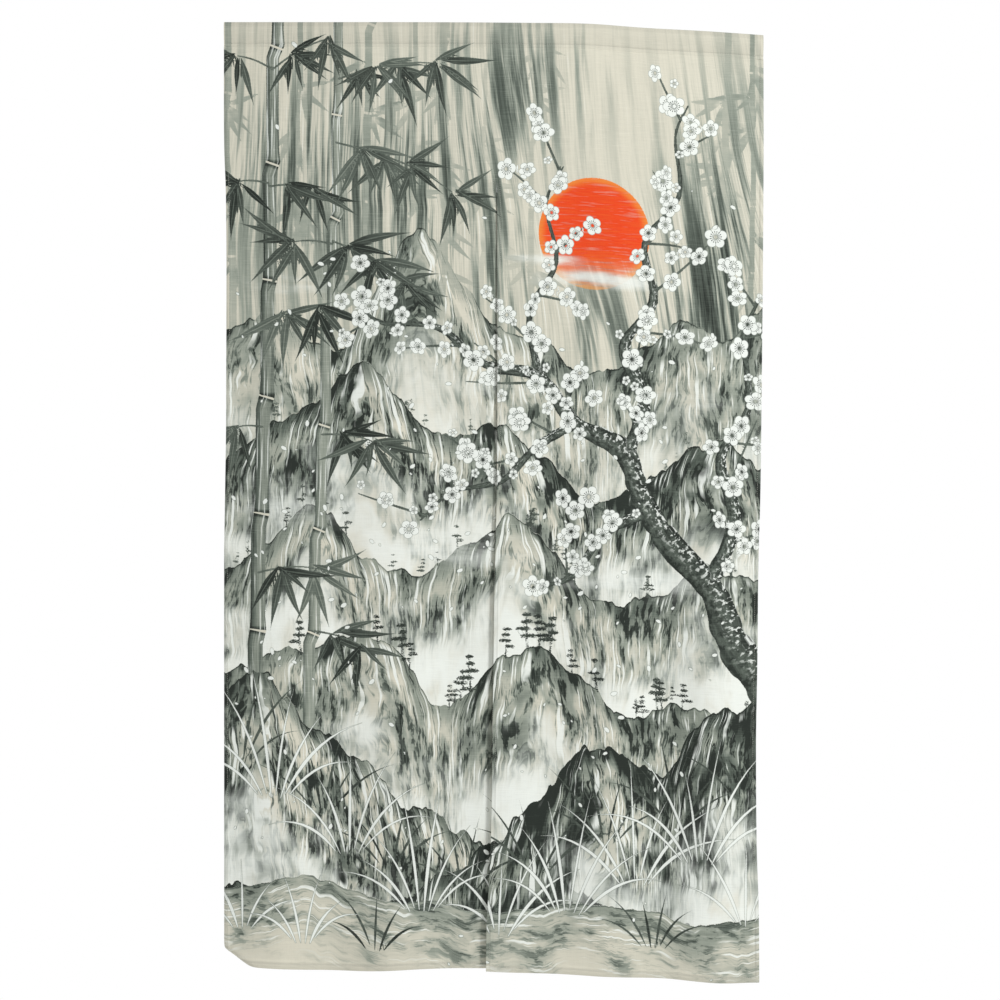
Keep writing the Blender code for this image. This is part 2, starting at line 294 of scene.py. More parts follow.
class Panel:
    """One panel of the curtain: its edges, its folds, and where each point of it hangs."""

    def __init__(self, name, hem, folds, flat, inner):
        self.name = name
        self.hem = hem
        self.folds = folds
        self.flat_left, self.flat_right = flat
        self.width = self.flat_right - self.flat_left
        self.inner = inner       # the share of the width at which its slit edge lies: 0 or 1

    def at_left(self, edge):
        """Whether its outer edge or its slit edge, as named, is its left one."""
        return (edge == "outer") == bool(self.inner)

    def sides(self, z):
        """The panel's two edges at each height."""
        slit = from_table(z, SLIT_ROWS, "z", "right")
        if self.inner:
            solid = from_table(z, SLIT_ROWS, "z", "left")
            slit = solid + np.maximum(slit - solid + LAP, 0.0) * rise(-z, *LAP_START)
        outer = from_table(z, SIDE_ROWS, "z", "left" if self.inner else "right")
        return (outer, slit) if self.inner else (slit, outer)

    def flat_place(self, across, down):
        """Where a share of the width and length lies on the flat cloth and so in the picture."""
        return self.flat_left + self.width * across, PANEL_TOP - DROP * down

    def fold_relief(self, across, z, width):
        """How far the main folds carry the cloth towards the front."""
        run = np.clip(z / FOLD_LEVELS[-1], 0.0, 1.0)
        total = np.zeros_like(z)
        for fold in self.folds:
            centre = fold["top"] + (fold["foot"] - fold["top"]) * run
            heights = (0.0, fold["upper"], fold["lower"], fold["hem"])
            height = smooth_between(z, FOLD_LEVELS, heights)
            total += height * bump((across - centre) * width, fold["half_width"])
        return total

    def fine_relief(self, x, z):
        """Puckers at the stitches, fine creases and the cloth's slight unevenness."""
        outer = x - self.flat_left if self.inner else self.flat_right - x
        slit = self.flat_right - x if self.inner else x - self.flat_left
        below_pocket = rise(-z, -PANEL_TOP, -PANEL_TOP + POCKET_FADE)
        parted = rise(-z, -SLIT_TOP, -SLIT_TOP + PART_FADE)
        total = crease_relief(x, z) * below_pocket
        total += puckers(z, outer - SIDE_LINE, PUCKER_SEEDS["outer"] + self.inner)
        total += puckers(z, slit - SIDE_LINE, PUCKER_SEEDS["slit"] + self.inner) * parted
        total += puckers(x, z - PICTURE_FOOT - FOOT_LINE, PUCKER_SEEDS["foot"])
        total += puckers(x, z + POCKET_LINE, PUCKER_SEEDS["pocket"])
        across = wander(x * 0.9 + z * 0.25, UNEVEN_PITCHES[0], 51)
        uneven = across * wander(z * 0.8 - x * 0.2, UNEVEN_PITCHES[1], 52)
        total += hem_form(outer, SIDE_LINE) * below_pocket
        total += hem_form(z - PICTURE_FOOT, FOOT_LINE)
        total += HEM_STEP * (1 - rise(PANEL_TOP - z, 0.0, HEM_STEP_WIDTH))
        if self.inner:
            total -= TUCK * (1 - rise(slit, 0.0, TUCK_WIDTH)) * rise(-z, -SLIT_TOP, LAP_START[1])
        return total + uneven * UNEVEN * below_pocket

    def place(self, across, down):
        """Where shares of the width and length hang, as (x, y, z) in the last axis."""
        top_left, top_right = self.sides(0.0)
        top_z = top_edge(top_left + (top_right - top_left) * across) + PANEL_TOP
        foot_x = self.hem[0]["x"] + (self.hem[-1]["x"] - self.hem[0]["x"]) * across
        foot_z = from_table(foot_x, self.hem, "x", "z")
        z = top_z + (foot_z - top_z) * down
        left, right = self.sides(z)
        x = left + (right - left) * across
        if self.inner:
            lean = -from_table(z, SLIT_ROWS, "z", "back") * bump(right - x, EDGE_REACH)
        else:
            lean = from_table(z, SLIT_ROWS, "z", "front") * bump(x - left, EDGE_REACH)
        flat_x, flat_z = self.flat_place(across, down)
        joined = bump(flat_x - SEAM_X, JOINED_WIDTH) * rise(flat_z, *JOINED_LEVELS)
        relief = self.fold_relief(across, z, right - left) * (1 - joined) + lean
        y = CLOTH_PLANE - relief - self.fine_relief(flat_x, flat_z)
        return self.turn_corner(x, y, z) if self.inner else np.stack((x, y, z), axis=-1)

    def turn_corner(self, x, y, z):
        """Roll the outer bottom corner towards the back."""
        out_x, out_z = -math.sin(CORNER_SLOPE), -math.cos(CORNER_SLOPE)
        corner_x, corner_z = self.hem[0].values()
        beyond = (x - corner_x) * out_x + (z - corner_z) * out_z + CORNER_INSET
        rolled = np.maximum(beyond, 0.0)
        angle = np.minimum(rolled / CORNER_RADIUS, CORNER_TURN)
        straight = rolled - angle * CORNER_RADIUS
        reach = CORNER_RADIUS * np.sin(angle) + straight * np.cos(angle)
        depth = CORNER_RADIUS * (1 - np.cos(angle)) + straight * np.sin(angle)
        shift = reach - rolled
        return np.stack((x + out_x * shift, y + depth, z + out_z * shift), axis=-1)

    def frame_at(self, across, down):
        """The place, the way to the right, and the way to the back, at points of the cloth."""
        step = FRAME_STEP
        here = self.place(across, down)
        right = self.place(across + step, down) - self.place(across - step, down)
        lower = self.place(across, np.minimum(down + step, 1)) - self.place(across, down - step)
        right /= np.linalg.norm(right, axis=-1, keepdims=True)
        back = np.cross(right, lower)
        back /= np.linalg.norm(back, axis=-1, keepdims=True)
        return here, right, back


LEFT_PANEL = Panel("panel_left", HEM_LEFT, FOLDS_LEFT, (-HALF_WIDTH, SEAM_X), 1)
RIGHT_PANEL = Panel("panel_right", HEM_RIGHT, FOLDS_RIGHT, (SEAM_X, HALF_WIDTH), 0)
PANELS = (LEFT_PANEL, RIGHT_PANEL)


# ---- The picture: a landscape in ink, with bamboo, plum blossom and a low sun ----
REACH = 0.012                # beyond its edge, how far a mark's distance is known
CURVE_STEPS = 6              # steps drawn between two points of a brush line

# Bamboo stalks, from the foot up past the top of the cloth.
STALK_COLUMNS = ("foot_x", "foot_z", "top_x", "half_width", "joint", "tone")
STALKS = named(STALK_COLUMNS, (
    (-0.382, -1.330, -0.340, 0.0125, 0.185, 0.92),
    (-0.300, -1.290, -0.232, 0.0098, 0.165, 0.74),
))
STALKS_END = (-1.180, -1.120)    # the heights between which they fade, behind the rocks
FAR_STALKS_END = (-0.60, -0.38)  # and those of the far stalks, behind the mist
STALK_TOP = 0.06             # how far past the top of the cloth they run
FAR_STALKS = named(STALK_COLUMNS, (
    (-0.412, -1.150, -0.418, 0.0070, 0.130, 0.34),
    (-0.345, -1.060, -0.298, 0.0060, 0.120, 0.30),
    (-0.222, -0.980, -0.188, 0.0075, 0.140, 0.36),
    (-0.165, -0.960, -0.118, 0.0050, 0.110, 0.26),
    (-0.092, -0.900, -0.074, 0.0060, 0.125, 0.24),
    (-0.030, -0.860, -0.006, 0.0040, 0.100, 0.18),
    (0.052, -0.620, 0.074, 0.0050, 0.110, 0.20),
    (0.352, -0.880, 0.372, 0.0070, 0.130, 0.26),
    (0.402, -0.900, 0.411, 0.0050, 0.105, 0.34),
))
# Side twigs of the near bamboo: which stalk, at what height, their angle from the
# right, their length, and how many sprays of leaves they carry.
TWIG_COLUMNS = ("stalk", "z", "angle", "length", "sprays")
TWIGS = named(TWIG_COLUMNS, (
    (0, -0.075, 38, 0.10, 2),
    (0, -0.075, 150, 0.06, 1),
    (1, -0.090, 18, 0.16, 4),
    (1, -0.190, -14, 0.20, 4),
    (0, -0.255, 168, 0.05, 1),
    (0, -0.260, 8, 0.07, 2),
    (1, -0.345, -22, 0.13, 3),
    (1, -0.350, 168, 0.06, 1),
    (0, -0.470, 24, 0.08, 2),
    (0, -0.640, 172, 0.04, 1),
    (1, -0.650, 2, 0.08, 2),
    (0, -0.870, 15, 0.09, 2),
    (1, -0.960, -8, 0.08, 2),
))

# The plum tree: each bough as places, x and z, that its brush line runs through, with its half
# width there.
BOUGHS = (
    ((0.450, -1.045, 0.0300), (0.385, -0.960, 0.0270), (0.352, -0.880, 0.0225), (0.285, -0.812, 0.0205),
     (0.236, -0.742, 0.0165), (0.205, -0.668, 0.0160), (0.128, -0.628, 0.0120), (0.070, -0.556, 0.0095),
     (-0.018, -0.540, 0.0070), (-0.092, -0.482, 0.0050), (-0.180, -0.474, 0.0032), (-0.226, -0.438, 0.0016)),
    ((0.208, -0.680, 0.0120), (0.238, -0.590, 0.0110), (0.206, -0.505, 0.0088), (0.252, -0.430, 0.0070),
     (0.238, -0.340, 0.0052), (0.292, -0.262, 0.0038), (0.286, -0.170, 0.0022), (0.306, -0.120, 0.0014)),
    ((0.345, -0.875, 0.0150), (0.384, -0.770, 0.0110), (0.360, -0.672, 0.0085), (0.404, -0.590, 0.0060),
     (0.396, -0.480, 0.0040), (0.418, -0.420, 0.0022)),
    ((0.130, -0.628, 0.0085), (0.066, -0.668, 0.0068), (0.012, -0.722, 0.0048), (-0.070, -0.742, 0.0030),
     (-0.118, -0.786, 0.0016)),
    ((0.070, -0.556, 0.0070), (0.056, -0.456, 0.0052), (0.098, -0.376, 0.0036), (0.082, -0.286, 0.0024),
     (0.110, -0.226, 0.0014)),
    ((0.250, -0.760, 0.0100), (0.176, -0.800, 0.0068), (0.130, -0.868, 0.0046), (0.066, -0.888, 0.0026)),
)

# Hills and rocks, the farthest first, as heights across the picture.
HILL_COLUMNS = ("x", "z")
FAR_HILLS = named(HILL_COLUMNS, (
    (-0.430, -0.500), (-0.340, -0.462), (-0.260, -0.520), (-0.178, -0.408), (-0.118, -0.338),
    (-0.066, -0.396), (-0.010, -0.462), (0.060, -0.486), (0.130, -0.545), (0.220, -0.520),
    (0.300, -0.452), (0.360, -0.480), (0.430, -0.430),
))
MIDDLE_HILLS = named(HILL_COLUMNS, (
    (-0.430, -0.690), (-0.360, -0.630), (-0.275, -0.596), (-0.215, -0.535), (-0.155, -0.594),
    (-0.072, -0.670), (0.000, -0.640), (0.070, -0.690), (0.160, -0.740), (0.260, -0.694),
    (0.335, -0.648), (0.430, -0.686),
))
NEAR_HILLS = named(HILL_COLUMNS, (
    (-0.430, -0.865), (-0.352, -0.822), (-0.280, -0.766), (-0.214, -0.828), (-0.122, -0.876),
    (-0.040, -0.832), (0.034, -0.780), (0.100, -0.835), (0.180, -0.898), (0.280, -0.880),
    (0.360, -0.842), (0.430, -0.865),
))
LOW_HILLS = named(HILL_COLUMNS, (
    (-0.430, -1.020), (-0.300, -0.985), (-0.215, -0.962), (-0.150, -1.000), (-0.075, -1.072),
    (-0.010, -1.030), (0.062, -0.975), (0.128, -1.020), (0.210, -1.082), (0.330, -1.060),
    (0.430, -1.100),
))
LEFT_ROCKS = named(HILL_COLUMNS, (
    (-0.430, -1.070), (-0.372, -1.040), (-0.300, -1.098), (-0.236, -1.128), (-0.172, -1.206),
    (-0.080, -1.266), (0.020, -1.310), (0.120, -1.352), (0.250, -1.400), (0.430, -1.420),
))
RIGHT_ROCKS = named(HILL_COLUMNS, (
    (-0.430, -1.372), (-0.200, -1.384), (-0.060, -1.344), (0.046, -1.252), (0.118, -1.172),
    (0.198, -1.128), (0.268, -1.166), (0.340, -1.094), (0.430, -1.050),
))
BANK = named(HILL_COLUMNS, (
    (-0.430, -1.366), (-0.300, -1.350), (-0.150, -1.384), (0.020, -1.400), (0.200, -1.376),
    (0.330, -1.404), (0.430, -1.390),
))
# How rough each ridge is, how dark it is printed, and how far down its foot is lost in mist.
# The brush lines run down a slope, or along it where "along" is 1.
LAND_COLUMNS = ("name", "rows", "seed", "rough", "tone", "fade", "along")
LANDS = named(LAND_COLUMNS, (
    ("far_hills", FAR_HILLS, 100, 0.012, 0.76, 0.28, 0),
    ("middle_hills", MIDDLE_HILLS, 200, 0.013, 1.30, 0.23, 0),
    ("near_hills", NEAR_HILLS, 300, 0.012, 0.88, 0.20, 0),
    ("low_hills", LOW_HILLS, 350, 0.012, 0.87, 0.28, 0),
    ("left_rocks", LEFT_ROCKS, 400, 0.016, 1.46, 0.39, 0),
    ("right_rocks", RIGHT_ROCKS, 500, 0.016, 1.46, 0.35, 0),
    ("bank", BANK, 600, 0.006, 0.52, 0.13, 1),
))
BANK_SKEW = 0.7              # how the marks along the bank lean over
SLOPE_STEP = 0.050           # over which a ridge's slope is taken
SLOPE_REACH = 0.032          # how far below a ridge brush lines still slant with its slope
RIDGE_STEPS = ((0.046, 1.0), (0.021, 0.55), (0.0095, 0.30), (0.0048, 0.16))  # pitch and share

# Pines on the ridges: which land, how many, how tall they are, and how dark.
PINE_COLUMNS = ("land", "count", "short", "tall", "tone")
PINES = named(PINE_COLUMNS, (
    (1, 16, 0.014, 0.030, 0.62),
    (2, 20, 0.020, 0.044, 0.80),
    (3, 22, 0.024, 0.056, 0.96),
))

# Tufts of grass among the rocks: where each grows, how tall it is, how many blades it has, how
# far they bend over, and their kind. Neighbouring white blades are on different layers.
GRASS_LAYERS = {"dark": ("dark_grass",), "rear": ("rear_grass", "rear_reed"),
                "front": ("front_grass", "front_reed")}
WHITE_GRASS = (*GRASS_LAYERS["rear"], *GRASS_LAYERS["front"])
TUFT_COLUMNS = ("x", "z", "height", "blades", "bend", "kind")
TUFTS = named(TUFT_COLUMNS, (
    (-0.398, -1.165, 0.165, 6, 1.2, "dark"),
    (-0.346, -1.222, 0.200, 8, 1.4, "front"),
    (-0.268, -1.238, 0.140, 6, 1.0, "dark"),
    (-0.226, -1.306, 0.180, 7, 1.6, "rear"),
    (-0.160, -1.325, 0.130, 6, 1.1, "dark"),
    (-0.112, -1.402, 0.190, 8, 1.3, "front"),
    (-0.046, -1.372, 0.150, 6, 1.2, "dark"),
    (0.024, -1.432, 0.165, 7, 1.5, "rear"),
    (0.076, -1.335, 0.170, 6, 1.1, "dark"),
    (0.128, -1.398, 0.200, 8, 1.4, "front"),
    (0.186, -1.284, 0.160, 6, 1.2, "dark"),
    (0.232, -1.346, 0.205, 7, 1.2, "rear"),
    (0.300, -1.245, 0.160, 6, 1.1, "dark"),
    (0.334, -1.306, 0.210, 8, 1.5, "front"),
    (0.398, -1.200, 0.150, 5, 1.2, "dark"),
    (0.404, -1.402, 0.150, 5, 1.3, "rear"),
    (-0.396, -1.432, 0.110, 5, 1.3, "rear"),
    (-0.300, -1.448, 0.125, 6, 1.5, "front"),
    (0.262, -1.446, 0.120, 6, 1.3, "dark"),
    (-0.186, -1.458, 0.105, 5, 1.3, "dark"),
))
BLADE_GAP = 0.0072           # between the feet of neighbouring blades

# Soft areas of grey wash and of white mist.
CLOUD_COLUMNS = ("x", "z", "width", "height", "amount")
WASHES = named(CLOUD_COLUMNS, (
    (-0.300, -0.225, 0.170, 0.180, 1.05),
    (-0.060, -0.290, 0.140, 0.220, 1.00),
    (0.360, -0.310, 0.110, 0.230, 1.10),
    (0.060, -0.080, 0.100, 0.110, 0.85),
    (0.140, -0.480, 0.170, 0.120, 0.85),
    (-0.380, -0.600, 0.120, 0.200, 0.60),
    (0.390, -0.560, 0.090, 0.200, 0.60),
))
MISTS = named(CLOUD_COLUMNS, (
    (-0.330, -0.770, 0.150, 0.030, 0.90),
    (-0.060, -0.830, 0.150, 0.034, 1.00),
    (0.250, -0.875, 0.160, 0.030, 0.90),
    (-0.180, -1.020, 0.140, 0.034, 1.00),
    (0.060, -1.030, 0.170, 0.040, 1.00),
    (0.020, -0.575, 0.110, 0.022, 0.60),
    (0.300, -0.585, 0.120, 0.020, 0.60),
    (0.170, -0.402, 0.130, 0.016, 0.95),
    (0.070, -0.372, 0.090, 0.010, 0.80),
    (-0.330, -0.415, 0.110, 0.020, 0.70),
))
SUN = (0.158, -0.330, 0.088)     # centre and radius
PETAL_COUNT = 230            # loose petals on the air
FAR_SPRAYS = 5               # sprays of leaves on each far stalk
THIN_BOUGH = 0.0125          # the half width below which a bough bears shoots and blossoms
BLOSSOM_RADII = (0.0085, 0.0125, 0.0150, 0.0170, 0.0190)
BLOSSOM_SHARES = (0.18, 0.18, 0.24, 0.24, 0.16)
DRAWN_SEEDS = {"pines": 17, "bamboo": 7, "plum": 23, "grass": 5, "petals": 3}


def flowing(points):
    """More points on a smooth curve through the given ones."""
    points = np.asarray(points, dtype=float)
    padded = np.vstack((2 * points[0] - points[1], points, 2 * points[-1] - points[-2]))
    drawn = []
    for k in range(1, len(padded) - 2):
        a, b, c, d = padded[k - 1:k + 3]
        for t in np.arange(CURVE_STEPS) / CURVE_STEPS:
            drawn.append(0.5 * (2 * b + (c - a) * t + (2 * a - 5 * b + 4 * c - d) * t * t
                                + (3 * b - a - 3 * c + d) * t ** 3))
    drawn.append(points[-1])
    return np.array(drawn)


class BrushMarks:
    """One layer of brush marks, each a line with a half width at every point of it."""

    def __init__(self):
        self.marks = []

    def add(self, line, tone, pace=1.0):
        """Lay a mark on the layer: rows of x, z and half width, its tone, and a unit of length."""
        self.marks.append((np.asarray(line, dtype=float), tone, pace))

    def fields(self, x, z):
        """At each point, the mark that covers it best: (across, half width, depth inside its
        edge) and (length along it, tone, share of its width across)."""
        edge = np.tile((REACH, 0.0, -REACH), (len(x), 1))
        run = np.zeros((len(x), 3))
        for line, tone, pace in self.marks:
            self.lay(line, tone, pace, x, z, edge, run)
        return edge, run

    @staticmethod
    def lay(line, tone, pace, x, z, edge, run):
        """Write one mark over the points that it covers better than the marks before it."""
        reach = line[:, 2].max() + REACH
        (low_x, low_z), (high_x, high_z) = line[:, :2].min(axis=0), line[:, :2].max(axis=0)
        near = np.flatnonzero((x > low_x - reach) & (x < high_x + reach)
                              & (z > low_z - reach) & (z < high_z + reach))
        if not len(near):
            return
        step = np.diff(line, axis=0)
        length = np.hypot(step[:, 0], step[:, 1])
        off_x = x[near, None] - line[None, :-1, 0]
        off_z = z[near, None] - line[None, :-1, 1]
        place = (off_x * step[:, 0] + off_z * step[:, 1]) / length
        held = np.clip(place, 0, length)
        across = (off_x * step[:, 1] - off_z * step[:, 0]) / length
        half = line[:-1, 2] + step[:, 2] * held / length
        depth = half - np.hypot(across, place - held)
        best = np.argmax(depth, axis=1)
        rows = np.arange(len(near))
        better = depth[rows, best] > edge[near, 2]
        rows, best, at = rows[better], best[better], near[better]
        starts = np.concatenate(([0.0], np.cumsum(length)))
        beyond = np.abs(place - held)[rows, best]
        edge[at, 0] = across[rows, best]
        edge[at, 1] = half[rows, best] - beyond
        edge[at, 2] = depth[rows, best]
        run[at, 0] = (starts[best] + held[rows, best]) / pace
        run[at, 1] = tone
        run[at, 2] = across[rows, best] / np.maximum(half[rows, best], 0.0005)


def blade(x, z, heading, length, half_width, bend, profile):
    """A mark that starts at a place, heading an angle, and bends by another along its way."""
    count = len(profile)
    turns = heading + bend * (np.arange(count) / (count - 1)) ** 1.4
    step = length / (count - 1)
    xs = x + np.concatenate(([0.0], np.cumsum(np.cos(turns[:-1])))) * step
    zs = z + np.concatenate(([0.0], np.cumsum(np.sin(turns[:-1])))) * step
    return np.stack((xs, zs, np.asarray(profile) * half_width), axis=1)


LEAF_PROFILE = (0.10, 0.50, 0.86, 1.00, 0.96, 0.80, 0.58, 0.34, 0.14, 0.0)
GRASS_PROFILE = (0.25, 0.62, 0.90, 1.00, 0.94, 0.80, 0.60, 0.38, 0.18, 0.0)
PETAL_PROFILE = (0.30, 0.85, 1.00, 0.85, 0.30)
PAD_PROFILE = (0.20, 0.75, 1.00, 0.95, 1.00, 0.70, 0.20)
TRUNK_PROFILE = (1.3, 1.0, 0.9, 0.8, 0.6, 0.4)
TWIG_PROFILE = (1, 0.95, 0.9, 0.8, 0.7, 0.6)
SHOOT_PROFILE = (1.2, 1.0, 0.95, 0.9, 0.8, 0.75, 0.6, 0.45)


def leaf_spray(layer, rng, x, z, heading, count, size, tone):
    """Bamboo leaves that hang from one point of a twig like the fingers of a hand."""
    for k in range(count):
        spread = (k - (count - 1) / 2) * math.radians(27) + rng.normal(0, math.radians(7))
        length = size * rng.uniform(0.72, 1.15)
        start = rng.uniform(-0.006, 0.006, 2)
        layer.add(blade(x + start[0], z + start[1], heading + spread, length, length * 0.068,
                        rng.uniform(-0.28, 0.28), LEAF_PROFILE), tone * rng.uniform(0.78, 1.08))


def stalk_line(stalk, rng):
    """A bamboo stalk, a little crooked from joint to joint and wider at each joint."""
    rows = []
    length = STALK_TOP - stalk["foot_z"]
    joints = int(length / stalk["joint"]) + 1
    for k in range(joints + 1):
        share = min(k * stalk["joint"] / length, 1.0)
        x = stalk["foot_x"] + (stalk["top_x"] - stalk["foot_x"]) * share + rng.normal(0, 0.0022)
        z = stalk["foot_z"] + length * share
        half = stalk["half_width"] * (1.06 - 0.30 * share)
        rows.append((x, z, half * 1.10))
        if k < joints:
            rows.append((x, z + stalk["joint"] * 0.12, half * 0.96))
            rows.append((x, z + stalk["joint"] * 0.88, half * 0.96))
    return np.array(rows)


class Blossoms:
    """One layer of plum blossoms that don't overlap one another."""

    def __init__(self):
        self.rows = []           # x, z, radius, turn, squash, seed

    def takes(self, x, z, radius):
        """Whether a blossom fits here."""
        return all(math.hypot(x - row[0], z - row[1]) > 0.94 * (radius + row[2]) for row in self.rows)

    def fields(self, x, z):
        """At each point, the blossom's own coordinates and reach, and its size and seed."""
        petals = np.tile((2.0, 2.0, -1.0), (len(x), 1))
        kind = np.tile((0.015, 0.5, 0.0), (len(x), 1))
        for bx, bz, radius, turn, squash, seed in self.rows:
            near = np.flatnonzero(np.hypot(x - bx, z - bz) < radius * 1.35 + 0.006)
            off_x, off_z = (x[near] - bx) / radius, (z[near] - bz) / radius
            reach = 1 - np.hypot(off_x, off_z)
            better = reach > petals[near, 2]
            at = near[better]
            off_x, off_z = off_x[better], off_z[better]
            tilt = 2.4 * seed
            long_way = off_x * math.cos(tilt) + off_z * math.sin(tilt)
            short_way = (off_z * math.cos(tilt) - off_x * math.sin(tilt)) / squash
            petals[at, 0] = long_way * math.cos(turn) - short_way * math.sin(turn)
            petals[at, 1] = long_way * math.sin(turn) + short_way * math.cos(turn)
            petals[at, 2] = reach[better]
            kind[at, 0] = radius
            kind[at, 1] = seed
        return petals, kind


def ridge(x, land):
    """The height of a ridge, which is broken up at ever finer steps."""
    height = from_table(x, land["rows"], "x", "z")
    seed = land["seed"]
    for pitch, share in RIDGE_STEPS:
        height = height + wander(x, pitch, seed) * land["rough"] * share
        seed += 1
    return height


def land_fields(x, z, land):
    """How far below a ridge each point lies, where on the ridge its brush line starts, and
    which way the ground slopes there."""
    depth = ridge(x, land) - z
    slope = (ridge(x + SLOPE_STEP, land) - ridge(x - SLOPE_STEP, land)) / (2 * SLOPE_STEP)
    slope = np.tanh(slope)
    start = x + slope * SLOPE_REACH * (1 - np.exp(-np.maximum(depth, 0) / SLOPE_REACH))
    return np.stack((depth, depth if land["along"] else start, slope), axis=1)


def clouds(x, z, rows):
    """How dense a set of soft areas is at each point."""
    total = np.zeros_like(x)
    for cloud in rows:
        total += cloud["amount"] * bump(np.hypot((x - cloud["x"]) / cloud["width"],
                                                 (z - cloud["z"]) / cloud["height"]), 1.0)
    return total


# Layers of brush marks, each with its own fields, so that marks that cross stay crisp.
BRUSH_LAYERS = ("stalk", "rear_leaf", "front_leaf", "bough", "dark_grass", *WHITE_GRASS)


class Picture:
    """All the marks of the picture, and what they amount to at given points of the cloth."""

    def __init__(self):
        self.far = BrushMarks()
        self.pines = BrushMarks()
        self.layers = {name: BrushMarks() for name in BRUSH_LAYERS}
        self.blossoms = (Blossoms(), Blossoms())
        drawings = {"pines": self.draw_pines, "bamboo": self.draw_bamboo, "plum": self.draw_plum,
                    "grass": self.draw_grass, "petals": self.draw_petals}
        for name, draw in drawings.items():
            draw(np.random.default_rng(DRAWN_SEEDS[name]))

    def draw_pines(self, rng):
        """Pines along the ridges, each a leaning trunk with flat pads of needles."""
        for grove in PINES:
            for _ in range(grove["count"]):
                x = rng.uniform(-0.42, 0.42)
                tall = rng.uniform(grove["short"], grove["tall"])
                tone = grove["tone"] * rng.uniform(0.85, 1.1)
                foot = float(ridge(np.array([x]), LANDS[grove["land"]])[0]) - 0.004
                lean = rng.uniform(-0.25, 0.25)
                trunk = blade(x, foot, math.pi / 2 + lean, tall, tall * 0.022 + 0.0004, -lean * 1.6,
                              TRUNK_PROFILE)
                self.pines.add(trunk, tone)
                pads = rng.integers(3, 6)
                for k in range(pads):
                    share = 0.38 + 0.62 * k / (pads - 1)
                    at = trunk[min(int(share * (len(trunk) - 1) + 0.5), len(trunk) - 1)]
                    length = tall * (0.62 - 0.34 * share) * rng.uniform(0.8, 1.25)
                    off = rng.choice((-1, 1)) * length * rng.uniform(0.1, 0.5) * (1.15 - share)
                    self.pines.add(blade(at[0] + off - length / 2, at[1] - length * 0.04, 0.12, length,
                                         tall * 0.060, -0.30, PAD_PROFILE), tone)

    def draw_bamboo(self, rng):
        """The stalks near and far, and the leaves on their twigs."""
        lines = []
        for stalk in STALKS:
            lines.append(stalk_line(stalk, rng))
            self.layers["stalk"].add(lines[-1], stalk["tone"], stalk["joint"])
        for stalk in FAR_STALKS:
            line = stalk_line(stalk, rng)
            self.far.add(line, stalk["tone"], stalk["joint"])
            for _ in range(FAR_SPRAYS):
                z = rng.uniform(-0.45, -0.03)
                x = np.interp(z, line[:, 1], line[:, 0])
                heading = -math.pi / 2 + rng.choice((-1, 1)) * rng.uniform(0.3, 1.1)
                leaf_spray(self.far, rng, x, z, heading, 4, 0.070, stalk["tone"] * 1.15)
        for number, twig in enumerate(TWIGS):
            line = lines[twig["stalk"]]
            x = np.interp(twig["z"], line[:, 1], line[:, 0])
            angle = math.radians(twig["angle"])
            aside = 1 if math.cos(angle) > 0 else -1
            stem = blade(x, twig["z"], angle, twig["length"], 0.0018, -0.5 * aside, TWIG_PROFILE)
            self.layers["bough"].add(stem, 0.85)
            for k in range(twig["sprays"]):
                layer = self.layers[("rear_leaf", "front_leaf")[(k + number) % 2]]
                share = (k + 1) / twig["sprays"]
                at = stem[min(int(share * (len(stem) - 1)), len(stem) - 1)]
                heading = -math.pi / 2 + 0.55 * aside + rng.normal(0, 0.22)
                leaf_spray(layer, rng, at[0], at[1], heading, rng.integers(5, 8),
                           rng.uniform(0.074, 0.096), rng.uniform(0.78, 1.0))

    def draw_plum(self, rng):
        """The boughs, their shoots, and blossoms along both."""
        places = []
        for bough in BOUGHS:
            line = flowing(bough)
            line[:, 2] *= 1 + 0.16 * rng.uniform(-1, 1, len(line))
            self.layers["bough"].add(line, 1.0)
            thin = [k for k in range(2, len(line) - 1) if line[k, 2] < THIN_BOUGH]
            places += [line[k] for k in thin[::2]] + [line[-1]]
            for k in thin[1::5]:
                way = line[k + 1] - line[k]
                side = rng.choice((-1, 1))
                heading = math.atan2(way[1], way[0]) + side * rng.uniform(0.6, 1.15)
                if math.sin(heading) < -0.55:
                    heading = -heading
                shoot = blade(line[k, 0], line[k, 1], heading, rng.uniform(0.060, 0.150), 0.0022,
                              rng.uniform(-0.4, 0.4), SHOOT_PROFILE)
                self.layers["bough"].add(shoot, 0.9)
                places += [shoot[j] for j in (2, 4, 5, 7)]
        for x, z, _ in places:
            x, z = x + rng.normal(0, 0.009), z + rng.normal(0, 0.009)
            radius = rng.choice(BLOSSOM_RADII, p=BLOSSOM_SHARES)
            seed = rng.uniform(0, 1)
            squash = rng.uniform(0.72, 1.0)
            turn = rng.uniform(0, 2 * math.pi)
            for layer in self.blossoms:
                if layer.takes(x, z, radius):
                    layer.rows.append((x, z, radius, turn, squash, seed))
                    break

    def draw_grass(self, rng):
        """Tufts of long arching blades, dark ones behind and white ones in front."""
        for tuft in TUFTS:
            names = GRASS_LAYERS[tuft["kind"]]
            for k in range(tuft["blades"]):
                off = k - (tuft["blades"] - 1) / 2
                share = 2 * off / tuft["blades"]
                heading = math.pi / 2 - share * 0.80 + rng.uniform(-0.03, 0.03)
                length = tuft["height"] * rng.uniform(0.70, 1.12) * (1 - 0.22 * abs(share))
                bend = rng.uniform(-0.06, 0.06) - share * tuft["bend"]
                line = blade(tuft["x"] + off * BLADE_GAP, tuft["z"] + rng.uniform(-0.005, 0.005), heading,
                             length, rng.uniform(0.0017, 0.0027), bend, GRASS_PROFILE)
                self.layers[names[k % len(names)]].add(line, rng.uniform(0.85, 1.05))

